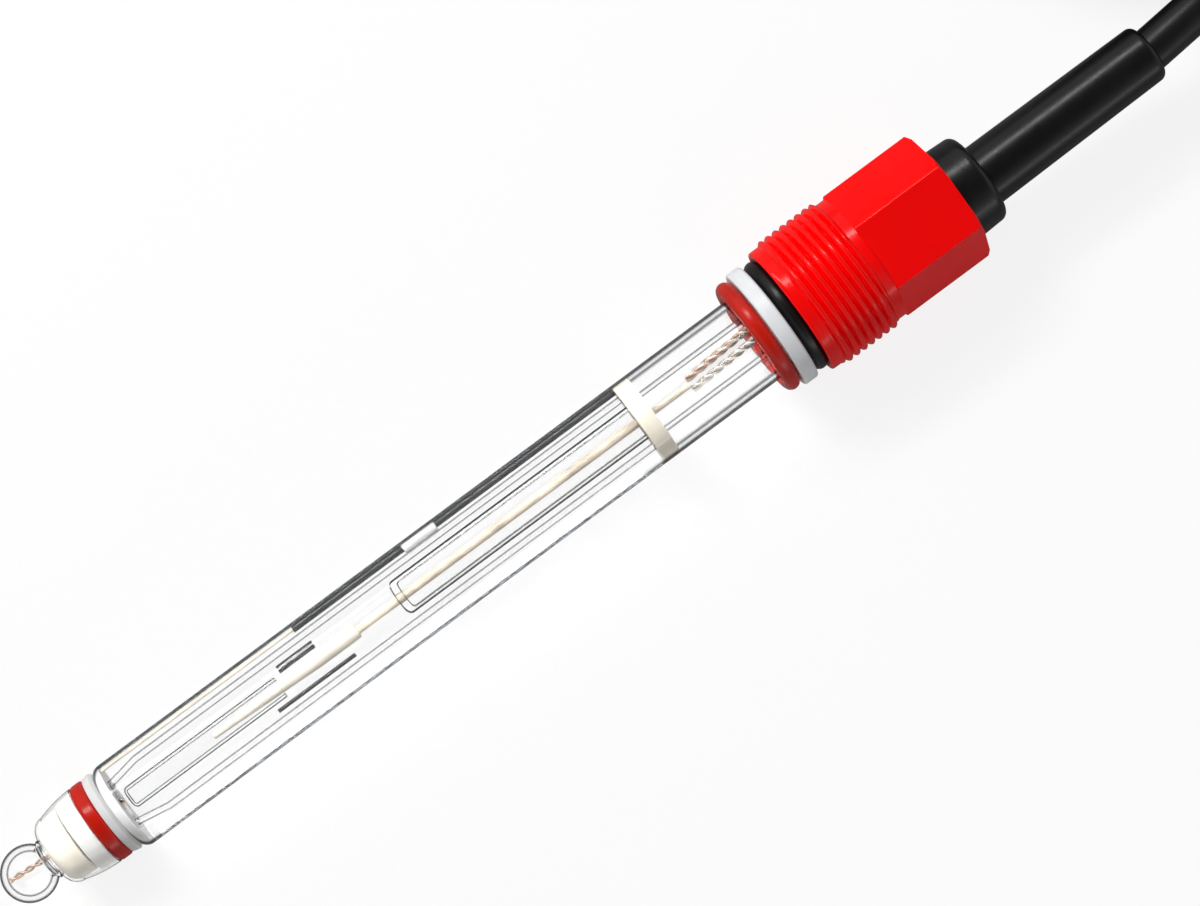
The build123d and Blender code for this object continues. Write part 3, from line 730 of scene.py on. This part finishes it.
LAMPS = (
    Lamp("key", (-0.10, 0.46, 0.52), (0.24, 0.24), 2.7, False),
    Lamp("fill", (0.15, -0.6, 0.5), (0.4, 0.4), 0.35, False),
    Lamp("strip", (0.02, 0.40, 0.42), (0.5, 0.06), 1.15, True),
    Lamp("rim", (0.02, -0.55, 0.16), (0.5, 0.05), 0.2, True),
)


@dataclass
class Studio:
    """Camera, floor, lamps and world.

    world_light is the world's strength on matt skins. In gloss it is mirrored_around low down and
    mirrored_above overhead, and mirrored_rise says where it changes. glow_share is how much of the floor is
    a glow when it is seen, through glass too. The glow's strength is glow, or mirrored_glow in gloss.
    """

    world_light: float = 0.19
    mirrored_above: float = 0.08
    mirrored_around: float = 0.55
    mirrored_rise: tuple[float, float] = (0.3, 0.85)
    image_width: int = 1200
    sensor: float = 36.0
    focal_px: float = 3540.0
    aim: tuple[float, float, float] = (3.1, 0.0, 8.46)
    distance: float = 447.5
    lean_deg: float = 3.5
    roll_deg: float = 36.53
    near_clip: float = 0.01
    far_clip: float = 10.0
    floor_size: float = 2.4
    floor_drop: float = 0.0001
    floor_white: float = 0.9
    floor_matt: float = 0.9
    floor_specular: float = 0.1
    glow_share: float = 0.84
    glow: float = 1.02
    mirrored_glow: float = 0.1
    lamp_target: tuple[float, float, float] = (0.0, 0.0, 0.01)

    def build(self) -> None:
        """Build the whole studio."""
        self.make_camera()
        self.make_floor()
        self.make_world()
        self.make_lamps()

    def make_camera(self) -> None:
        """Camera above the electrode, which crosses the picture from lower left to upper right."""
        lean, roll = math.radians(self.lean_deg), math.radians(self.roll_deg)
        ahead = Vector((math.sin(lean), 0.0, -math.cos(lean)))
        along = Vector((math.cos(lean), 0.0, math.sin(lean)))
        aside = Vector((0.0, -1.0, 0.0))
        right = along * math.cos(roll) + aside * math.sin(roll)
        up = along * math.sin(roll) - aside * math.cos(roll)
        data = bpy.data.cameras.new("camera")
        data.sensor_width = self.sensor
        data.lens = self.sensor * self.focal_px / self.image_width
        data.clip_start, data.clip_end = self.near_clip, self.far_clip
        camera = bpy.data.objects.new("camera", data)
        axes = Matrix((right, up, -ahead)).transposed().to_4x4()
        eye = (Vector(self.aim) - ahead * self.distance) * MM
        camera.matrix_world = Matrix.Translation(eye) @ axes
        bpy.context.scene.collection.objects.link(camera)
        bpy.context.scene.camera = camera
        log.info("camera: lens %.1f mm", data.lens)

    def make_floor(self) -> None:
        """White floor that keeps a soft shadow."""
        half = self.floor_size / 2
        mesh = bpy.data.meshes.new("floor")
        corners = [(-half, -half, 0.0), (half, -half, 0.0), (half, half, 0.0), (-half, half, 0.0)]
        mesh.from_pydata(corners, [], [(0, 1, 2, 3)])
        floor = bpy.data.objects.new("floor", mesh)
        floor.location.z = -self.floor_drop
        bpy.context.scene.collection.objects.link(floor)
        made, bench, shader = new_material("floor_white")
        shader.inputs["Base Color"].default_value = (*(self.floor_white,) * 3, 1.0)
        shader.inputs["Roughness"].default_value = self.floor_matt
        shader.inputs["Specular IOR Level"].default_value = self.floor_specular
        path = bench.add("LightPath")
        seen = bench.math("MAXIMUM", path.outputs["Is Camera Ray"], through_glass(bench, path))
        through = path.outputs["Is Transmission Ray"]
        mirrored = bench.math("MULTIPLY", path.outputs["Is Glossy Ray"], bench.math("SUBTRACT", 1.0, through))
        share = bench.math("MULTIPLY", bench.math("MAXIMUM", seen, mirrored), self.glow_share)
        level = bench.span(mirrored, 0.0, 1.0, self.glow, self.mirrored_glow)
        glow = bench.add("Emission", {"Color": (1.0, 1.0, 1.0, 1.0), "Strength": level})
        mixed = bench.add("MixShader", {0: share, 1: shader.outputs[0], 2: glow.outputs[0]})
        bench.tree.links.new(mixed.outputs[0], made.node_tree.nodes["Material Output"].inputs["Surface"])
        mesh.materials.append(made)

    def make_world(self) -> None:
        """Pale world that shows white to the camera."""
        world = bpy.data.worlds.new("world")
        world.use_nodes = True
        bpy.context.scene.world = world
        bench = NodeBench(world.node_tree)
        path = bench.add("LightPath")
        rise = bench.add("SeparateXYZ", {0: bench.add("TexCoord").outputs["Generated"]}).outputs["Z"]
        mirrored = bench.span(rise, *self.mirrored_rise, self.mirrored_around, self.mirrored_above)
        around = bench.span(path.outputs["Is Glossy Ray"], 0.0, 1.0, self.world_light, mirrored)
        straight = bench.math("MAXIMUM", path.outputs["Is Camera Ray"], through_glass(bench, path))
        strength = bench.math("MAXIMUM", straight, around)
        background = world.node_tree.nodes["Background"]
        background.inputs["Color"].default_value = (1.0, 1.0, 1.0, 1.0)
        bench.tree.links.new(strength, background.inputs["Strength"])

    def make_lamps(self) -> None:
        """A key on the coil's side, a fill on the other, and a narrow lamp on each side for the gloss."""
        for lamp in LAMPS:
            lamp.hang(self.lamp_target)


@dataclass
class Cable:
    """The fixed cable: out of the strain relief, through its coil and on to the plug.

    near and far are its points before and after the coil. eases are the shares of the first turns over which
    they pass to the next lane.
    """

    shop: Workshop
    radius: float = 2.9
    length: float = 0.99
    near: tuple = ((89.55, -0.45, 11.33), (94.88, 0.02, 11.54), (100.03, 0.47, 11.0))
    far: tuple = ((93.65, 71.99, 2.9), (86.68, 71.38, 2.9), (80.59, 70.85, 3.91))
    coil_centre: tuple[float, float] = (118.7, 38.14)
    coil_mean: float = 33.0
    groove_height: float = 13.72
    start_deg: float = -85.0
    turns: float = 4.5
    points_per_turn: int = 24
    eases: tuple = ((0.78, 1.0), (0.68, 0.9), (0.58, 0.8), (0.5, 0.7))
    plug_pieces: tuple = ("plug_boot", "plug_ferrule", "plug_body", "plug_insulator", "plug_pin", "plug_ring")

    def lanes(self) -> list[tuple[float, float]]:
        """The lanes that the turns lie in.

        Returns:
            Each lane's radius and height, in the order of the cable.
        """
        outer, inner = self.coil_mean + self.radius, self.coil_mean - self.radius
        upper, lower = 3 * self.radius, self.radius
        groove = (self.coil_mean, self.groove_height)
        return [(outer, upper), groove, (inner, upper), (inner, lower), (outer, lower)]

    def coil(self) -> list[tuple[float, float, float]]:
        """Points of the coil's turns.

        Returns:
            The points in millimetres.
        """
        lanes = self.lanes()
        points = []
        for k in range(round(self.turns * self.points_per_turn) + 1):
            turn, share = divmod(k / self.points_per_turn, 1.0)
            turn = int(turn)
            mix = 0.0
            if turn < len(self.eases):
                begin, end = self.eases[turn]
                done = min(1.0, max(0.0, (share - begin) / (end - begin)))
                mix = 0.5 - 0.5 * math.cos(math.pi * done)
            here, onward = lanes[turn], lanes[min(turn + 1, len(lanes) - 1)]
            radius = here[0] + (onward[0] - here[0]) * mix
            height = here[1] + (onward[1] - here[1]) * mix
            angle = math.radians(self.start_deg) + FULL_TURN * k / self.points_per_turn
            x = self.coil_centre[0] + radius * math.cos(angle)
            y = self.coil_centre[1] + radius * math.sin(angle)
            points.append((x, y, height))
        return points

    def build(self) -> bpy.types.Object:
        """Returns:
            The cable's curve.
        """
        route = [*self.near, *self.coil(), *self.far]
        data = bpy.data.curves.new("cable", "CURVE")
        data.dimensions = "3D"
        spline = data.splines.new("NURBS")
        spline.points.add(len(route) - 1)
        for knot, (x, y, z) in zip(spline.points, route):
            knot.co = (x * MM, y * MM, z * MM, 1.0)
        spline.order_u = 3
        spline.use_endpoint_u = True
        spline.resolution_u = 6
        data.bevel_depth = self.radius * MM
        data.bevel_resolution = 7
        data.use_fill_caps = True
        piece = bpy.data.objects.new("cable", data)
        bpy.context.scene.collection.objects.link(piece)
        self.shop.dress(piece, ["jacket"], Slot.JACKET, ["cable_near", "cable_coil", "cable_far"])
        tuple(v * MM for v in self.near[0])
        2 * self.radius * MM
        [self.shop.frame["nodes"][name] for name in self.plug_pieces]
        return piece


@dataclass(frozen=True)
class InnerTube:
    """A small tube in the filling, closed in front but for its bore.

    cap is its front wall. front, inside and rim are the roundings of its front edge, of the inner corner
    behind the cap and of its open end.
    """

    start: float
    end: float
    r: float
    wall: float
    bore: float
    cap: float
    front: float
    inside: float
    rim: float

    def corners(self) -> list[Corner]:
        """The closed outline, wet all round."""
        inner = self.r - self.wall
        return [
            Corner(self.start, self.bore, 0.0, True),
            Corner(self.start, self.r, self.front, True),
            Corner(self.end, self.r, self.rim, True),
            Corner(self.end, inner, self.rim, True),
            Corner(self.start + self.cap, inner, self.inside, True),
            Corner(self.start + self.cap, self.bore, 0.0, True),
        ]


@dataclass
class GlassWork:
    """The outer shaft, the blown stem with its bulb, and the small tubes in the filling.

    The filling wets the stem from wet_outside on its outside and from wet_inside in its bore, and everything
    as far as filling_end. nose_shift is how far the stem lies to the side of the shaft's axis.
    """

    shop: Workshop
    shaft_r: float = 6.0
    shaft_wall: float = 0.75
    shaft_start: float = 17.35
    shaft_full: float = 18.7
    shaft_end: float = 132.0
    shoulder_drop: float = 0.7
    shoulder_bend: tuple[float, float] = (0.36, 0.3)
    shoulder_steps: int = 10
    nose_shift: float = 0.2
    bulb_r: float = 3.73
    bulb_wall: float = 0.8
    neck_r: float = 2.56
    bead_r: float = 2.78
    bead_end: float = 7.1
    ball_steps: int = 40
    bead_steps: int = 8
    stem_r: float = 3.1
    stem_wall: float = 0.6
    swell: tuple[float, float] = (18.9, 22.9)
    swell_rounding: tuple[float, float] = (0.6, 1.5)
    wet_outside: float = 17.5
    wet_inside: float = 12.0
    stem_end: float = 127.5
    filling_end: float = 101.1
    capillary: InnerTube = InnerTube(
        19.45, 43.0, r=1.13, wall=0.3, bore=0.0, cap=0.3, front=0.6, inside=0.3, rim=0.1
    )
    guard: InnerTube = InnerTube(
        61.3, 98.78, r=1.86, wall=0.35, bore=0.49, cap=1.0, front=0.8, inside=0.5, rim=0.0
    )
    segments: int = 128
    inner_segments: int = 64

    def build(self) -> None:
        """Build all the glass."""
        self.make_shaft()
        self.make_stem()
        self.make_inner_tube("capillary_glass", self.capillary, "capillary_tube")
        self.make_inner_tube("guard_glass", self.guard, "guard_tube")

    def shoulder(self, radius: float, wet: bool) -> list[Corner]:
        """The flame-rounded shoulder from the lip to the full tube.

        Args:
            radius: radius of the full tube.
            wet: whether it meets the filling.

        Returns:
            The corners from the lip on.
        """
        lip = (self.shaft_start, radius - self.shoulder_drop)
        along, down = self.shoulder_bend
        bend_x = self.shaft_start + (self.shaft_full - self.shaft_start) * along
        bend = (bend_x, radius - self.shoulder_drop * down)
        return arc_corners(lip, bend, (self.shaft_full, radius), self.shoulder_steps, wet)

    def make_shaft(self) -> None:
        """The outer tube, wet inside as far as the septum."""
        bore = self.shaft_r - self.shaft_wall
        outer = self.shoulder(self.shaft_r, False)
        inner = self.shoulder(bore, True)[::-1]
        ends = [Corner(self.shaft_end, self.shaft_r), Corner(self.shaft_end, bore)]
        ends.append(Corner(self.filling_end, bore, 0.0, True))
        # The lip's end face, after the last corner, is dry
        inner[-1] = Corner(inner[-1].x, inner[-1].r)
        piece = turned("shaft_glass", [*outer, *ends, *inner], self.shop.electrode, self.segments)
        self.shop.dress(piece, ["dry_glass", "wet_glass"], Slot.SHAFT_GLASS, ["shaft_tube"])

    def stem_side(
        self, bulb_r: float, neck_r: float, bead_r: float, stem_r: float, wet_x: float
    ) -> list[Corner]:
        """One side of the stem's wall, from the tip of the bulb to the open end.

        Args:
            bulb_r: radius of the bulb.
            neck_r: radius of the neck.
            bead_r: radius of the bead on the neck.
            stem_r: radius of the stem.
            wet_x: where the filling begins.

        Returns:
            The corners from the tip on.
        """
        join = self.bulb_r + math.sqrt(bulb_r**2 - neck_r**2)
        tip, side, neck = (self.bulb_r - bulb_r, 0.0), (self.bulb_r, bulb_r), (join, neck_r)
        ball = arc_corners(tip, side, neck, self.ball_steps)
        top = ((join + self.bead_end) / 2, bead_r)
        bead = arc_corners(neck, top, (self.bead_end, neck_r), self.bead_steps)
        rise = [
            Corner(wet_x, neck_r, 0.0, True),
            Corner(self.swell[0], neck_r, self.swell_rounding[0], True),
            Corner(self.swell[1], stem_r, self.swell_rounding[1], True),
            Corner(self.filling_end, stem_r),
            Corner(self.stem_end, stem_r),
        ]
        return [*ball[:-1], *bead, *rise]

    def make_stem(self) -> None:
        """Bulb, neck and stem, blown as one piece."""
        outer = self.stem_side(self.bulb_r, self.neck_r, self.bead_r, self.stem_r, self.wet_outside)
        wall = self.stem_wall
        thin = (self.bulb_r - self.bulb_wall, self.neck_r - wall, self.bead_r - wall, self.stem_r - wall)
        inner = self.stem_side(*thin, self.wet_inside)
        pairs = zip([inner[0], *inner], inner)
        back = [Corner(c.x, c.r, c.rounding, before.wet) for before, c in pairs][::-1]
        place = self.shop.electrode.shifted(self.nose_shift)
        piece = turned("stem_glass", [*outer, *back], place, self.segments)
        self.shop.dress(piece, ["dry_glass", "wet_glass"], Slot.STEM_GLASS, ["stem_and_bulb"])

    def make_inner_tube(self, name: str, inner_tube: InnerTube, node: str) -> None:
        """Make a small tube in the filling, in line with the stem.

        Args:
            name: the piece's name.
            inner_tube: its sizes.
            node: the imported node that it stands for.
        """
        place = self.shop.electrode.shifted(self.nose_shift)
        piece = turned(name, inner_tube.corners(), place, self.inner_segments)
        self.shop.dress(piece, ["dry_glass", "thin_glass"], Slot.STEM_GLASS, [node])


@dataclass
class Wires:
    """The twisted wire in the bulb and the two terminals behind the septum."""

    shop: Workshop
    strand_r: float = 0.17
    bulb_spread: float = 0.24
    bulb_pitch: float = 3.1
    bulb_start: tuple[float, float] = (0.95, 0.9)
    bulb_end: tuple[float, float] = (18.9, 0.45)
    bulb_ease: float = 3.0
    nose_shift: float = GlassWork.nose_shift
    terminal_r: float = 0.24
    terminal_spread: float = 0.3
    terminal_pitch: float = 5.0
    terminal_start: float = 107.0
    terminal_length: float = 10.0
    terminal_aside: float = 0.75
    terminal_lift: float = 0.375
    terminal_lean: float = 0.5
    steps: int = 90
    sides: int = 10
    sharp_deg: float = 60.0

    def build(self) -> None:
        """Build the bulb's wire and the terminals."""
        self.make_bulb_wire()
        self.make_terminals()

    def strands(
        self,
        name: str,
        line: Callable[[float], tuple[float, float, float]],
        turns: float,
        spread: float,
        count: int,
        radius: float,
    ) -> bpy.types.Object:
        """Twist round strands about a line.

        Args:
            name: the piece's name.
            line: gives the line's point at a share of its length.
            turns: how often the strands go round.
            spread: distance of each strand from the line.
            count: how many strands.
            radius: radius of a strand.

        Returns:
            The mesh of all the strands.
        """
        steps, sides = self.steps, self.sides
        vertices, faces = [], []
        for strand in range(count):
            first = len(vertices)
            for k in range(steps + 1):
                share = k / steps
                x, y, z = line(share)
                phase = FULL_TURN * (turns * share + strand / count)
                for j in range(sides):
                    turn = FULL_TURN * j / sides
                    dy = spread * math.cos(phase) + radius * math.cos(turn)
                    dz = spread * math.sin(phase) + radius * math.sin(turn)
                    vertices.append(self.shop.electrode.point(x, y + dy, z + dz))
            for k in range(steps):
                for j in range(sides):
                    a, b = first + k * sides + j, first + k * sides + (j + 1) % sides
                    faces.append([a, b, b + sides, a + sides])
            faces.append([first + j for j in reversed(range(sides))])
            faces.append([first + steps * sides + j for j in range(sides)])
        return finish_mesh(name, vertices, faces, self.sharp_deg)

    def make_bulb_wire(self) -> None:
        """Wire pair that crosses the bulb and leaves by the neck."""
        start, end = self.bulb_start, self.bulb_end

        def line(share: float) -> tuple[float, float, float]:
            """The wire's middle line, easing towards the neck."""
            ease = min(1.0, share * self.bulb_ease)
            return start[0] + (end[0] - start[0]) * share, start[1] + (end[1] - start[1]) * ease, 0.0

        turns = (end[0] - start[0]) / self.bulb_pitch
        piece = self.strands("bulb_wire_pair", line, turns, self.bulb_spread, 2, self.strand_r)
        self.shop.dress(piece, ["copper"], Slot.WIRE, ["bulb_wire"])

    def make_terminals(self) -> None:
        """Two twisted bundles that spread towards the head."""
        for side, finish in ((-1, "silver"), (1, "copper")):

            def line(share: float, side: int = side) -> tuple[float, float, float]:
                """The bundle's middle line."""
                x = self.terminal_start + self.terminal_length * share
                y = self.nose_shift + side * self.terminal_aside + self.terminal_lean * share
                return x, y, side * self.terminal_lift

            turns = self.terminal_length / self.terminal_pitch
            name = "terminal_wire_low" if side < 0 else "terminal_wire_high"
            piece = self.strands(name, line, turns, self.terminal_spread, 3, self.terminal_r)
            self.shop.dress(piece, [finish], Slot.WIRE, ["terminal_pins"] if side < 0 else [])


@dataclass
class Gland:
    """The red gland: lead-in, rounded thread, undercut and hex with its chamfered end.

    crest_shape is the power that narrows or widens the crests. near_bevel and far_bevel are the lengths at
    the hex's two ends that are measured closely. near_slope is the slope of its chamfer at the thread, and
    far_share and far_over give the one at its end. mouth is the length of the socket's bevelled mouth.
    """

    shop: Workshop
    start: float = 122.8
    lead_in_r: float = 9.06
    lead_in: float = 1.3
    thread_start: float = 124.84
    thread_length: float = 8.5
    crest_r: float = 9.53
    root_r: float = 8.93
    pitch: float = 1.16
    crest_shape: float = 0.8
    runout: float = 0.5
    undercut: float = 1.25
    undercut_r: float = root_r
    hex_end: float = 147.9
    across_flats: float = 16.25
    edge_round: float = 0.35
    hex_turn: float = 37.5
    near_bevel: float = 0.5
    near_slope: float = 1.9
    far_bevel: float = 0.7
    far_share: float = 0.8
    far_over: float = 0.1
    end_r: float = 8.75
    socket_r: float = 7.7
    socket_end: float = 133.2
    mouth_r: float = 8.45
    mouth: float = 0.75
    bore_r: float = 6.25
    rim_round: float = 0.25
    steps_per_pitch: int = 14
    sharp_deg: float = 34.0

    @property
    def thread_end(self) -> float:
        """Where the thread runs out."""
        return self.thread_start + self.thread_length

    @property
    def hex_start(self) -> float:
        """Where the hex begins."""
        return self.thread_end + self.undercut

    def hex_radius(self, turn: float) -> float:
        """Radius of the hexagon with its rounded edges.

        Args:
            turn: angle round the axis in radians.

        Returns:
            The distance from the axis in millimetres.
        """
        flat = self.across_flats / 2
        sector = math.radians(60)
        off = (turn - math.radians(self.hex_turn) + sector / 2) % sector - sector / 2
        bend = math.atan2((flat - self.edge_round) * math.tan(sector / 2), flat)
        if abs(off) <= bend:
            return flat / math.cos(off)
        centre = (flat - self.edge_round) / math.cos(sector / 2)
        away = sector / 2 - abs(off)
        return centre * math.cos(away) + math.sqrt(self.edge_round**2 - (centre * math.sin(away)) ** 2)

    def thread_radius(self, x: float, turn: float) -> float:
        """Radius over the thread, which fades in and out at its ends.

        Args:
            x: place along the axis.
            turn: angle round the axis in radians.

        Returns:
            The distance from the axis in millimetres.
        """
        phase = (x - self.thread_start) / self.pitch - turn / FULL_TURN
        crest = abs(math.cos(math.pi * phase)) ** self.crest_shape
        fade_in = (x - (self.start + self.lead_in)) / (self.thread_start - self.start - self.lead_in)
        fade_out = (self.thread_end - x) / self.runout
        fade = max(0.0, min(1.0, fade_in, fade_out))
        base = self.lead_in_r + (self.root_r - self.lead_in_r) * max(0.0, min(1.0, fade_in))
        return base + (self.crest_r - base) * crest * fade

    def outer_radius(self, x: float, turn: float) -> float:
        """Radius of the outside.

        Args:
            x: place along the axis.
            turn: angle round the axis in radians.

        Returns:
            The distance from the axis in millimetres.
        """
        if x <= self.start + self.lead_in:
            return self.lead_in_r
        if x <= self.thread_end:
            return self.thread_radius(x, turn)
        if x <= self.hex_start:
            return self.undercut_r
        corner_r = self.across_flats / 2 / math.cos(math.radians(30))
        bevel = corner_r - self.end_r
        near_cone = corner_r - bevel / 2 + (x - self.hex_start) * self.near_slope
        far_cone = self.end_r + (self.hex_end - x) * (bevel + self.far_over) / (bevel * self.far_share)
        return min(self.hex_radius(turn), near_cone, far_cone)

    def stations(self) -> list[float]:
        """Places along the axis where the outside is measured.

        Returns:
            The places in millimetres, close together where the outside changes.
        """
        just_past = 0.001
        lead = [self.start + self.rim_round + (self.lead_in - self.rim_round) * k / 3 for k in range(4)]
        thread_from = self.start + self.lead_in
        count = round((self.thread_end - thread_from) / self.pitch * self.steps_per_pitch)
        thread = [thread_from + (self.thread_end - thread_from) * k / count for k in range(1, count + 1)]
        neck = [self.thread_end + self.undercut * k / 4 for k in (1, 2, 3)]
        near = [self.hex_start + just_past + self.near_bevel * k / 8 for k in range(9)]
        far = [self.hex_end - self.far_bevel + self.far_bevel * k / 16 for k in range(17)]
        return [*lead, *thread, *neck, self.hex_start, *near, *far]

    def angles(self) -> list[float]:
        """Angles round the axis.

        Returns:
            The angles in radians, close together at the edges of the hex.
        """
        steps = (0.0, 0.5, 1.0, 1.6, 2.3, 3.2, 4.5, 6.5, 9.0, 12.0, 15.0, 18.0, 21.0, 24.0, 27.0, 30.0)
        sector = sorted({*steps, *(60.0 - s for s in steps)} - {60.0})
        return [math.radians(self.hex_turn + 30.0 + 60.0 * k + s) for k in range(6) for s in sector]

    def build(self) -> bpy.types.Object:
        """Build the gland as one closed shell.

        Returns:
            The gland.
        """
        rows: list[tuple[float, Callable[[float], float]]] = []
        for a in (0.0, 0.5, 1.0, math.pi / 2):
            along, down = self.rim_round * (1 - math.cos(a)), self.rim_round * (1 - math.sin(a))
            rows.append((self.start + along, lambda turn, down=down: self.lead_in_r - down))
        for x in self.stations():
            rows.append((x, lambda turn, x=x: self.outer_radius(x, turn)))
        inside = [(self.hex_end, self.bore_r), (self.socket_end, self.bore_r)]
        inside += [(self.socket_end, self.socket_r), (self.start + self.mouth, self.socket_r)]
        inside.append((self.start, self.mouth_r))
        for x, r in inside:
            rows.append((x, lambda turn, r=r: r))
        angles = self.angles()
        vertices = []
        for x, radius in rows:
            for turn in angles:
                r = radius(turn)
                vertices.append(self.shop.electrode.point(x, r * math.cos(turn), r * math.sin(turn)))
        faces, n = [], len(angles)
        for k in range(len(rows)):
            this, onward = k * n, (k + 1) % len(rows) * n
            for j in range(n):
                faces.append([this + j, this + (j + 1) % n, onward + (j + 1) % n, onward + j])
        piece = finish_mesh("gland_threaded", vertices, faces, self.sharp_deg)
        return self.shop.dress(piece, ["red"], Slot.RED, ["gland"], Body.GLAND)


@dataclass
class PaintedNodes:
    """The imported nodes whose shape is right, with their finishes."""

    shop: Workshop
    finishes: dict[str, tuple[str, ...]] = field(
        default_factory=lambda: {
            "skirt": ("nose_skirt",),
            "ivory": ("ivory_cup",),
            "white": ("front_ring", "rear_ring", "junction_disc", "reference_collar"),
            "washer": ("thrust_washer",),
            "silicone": ("nose_gasket", "red_o_ring"),
            "septum": ("septum", "stem_plug"),
            "wick": ("inner_wick", "thread_wick"),
            "lead": ("inner_lead",),
            "dark_rod": ("reference_rod", "contact_pin", "filler_tip"),
            "rubber": ("black_o_ring", "plug_boot"),
            "black": ("head_body", "head_collar", "strain_relief"),
            "nickel": ("plug_ferrule", "plug_body", "plug_ring"),
            "insulator": ("plug_insulator",),
            "gold": ("plug_pin",),
        }
    )

    def build(self) -> None:
        """Paint them all."""
        for finish, nodes in self.finishes.items():
            for node in nodes:
                self.shop.paint(node, finish)


def electrode_place() -> Place:
    """Place of the electrode's axis: it lies on its shoulder and its first thread.

    Returns:
        The place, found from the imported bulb's own box.
    """
    shaft_r, shoulder = GlassWork.shaft_r, GlassWork.shaft_full
    tilt = math.atan2(Gland.crest_r - shaft_r, Gland.thread_start - shoulder)
    height = shaft_r * math.cos(tilt) - shoulder * math.sin(tilt)
    low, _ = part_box("stem_and_bulb")
    along = low.x - GlassWork.bulb_r * (math.cos(tilt) - 1) * MM
    lift = Matrix.Translation((along, 0.0, height * MM))
    return Place(lift @ Matrix.Rotation(-tilt, 4, "Y") @ Matrix.Scale(MM, 4))


def main() -> None:
    """Build and dress everything in order."""
    logging.basicConfig(level=logging.INFO, format="%(name)s: %(message)s")
    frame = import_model()
    bpy.context.scene.view_settings.view_transform = "Standard"
    shop = Workshop(frame, Palette(), electrode_place())
    Studio().build()
    Cable(shop).build()
    PaintedNodes(shop).build()
    GlassWork(shop).build()
    Wires(shop).build()
    Gland(shop).build()


if __name__ == "__main__":
    main()
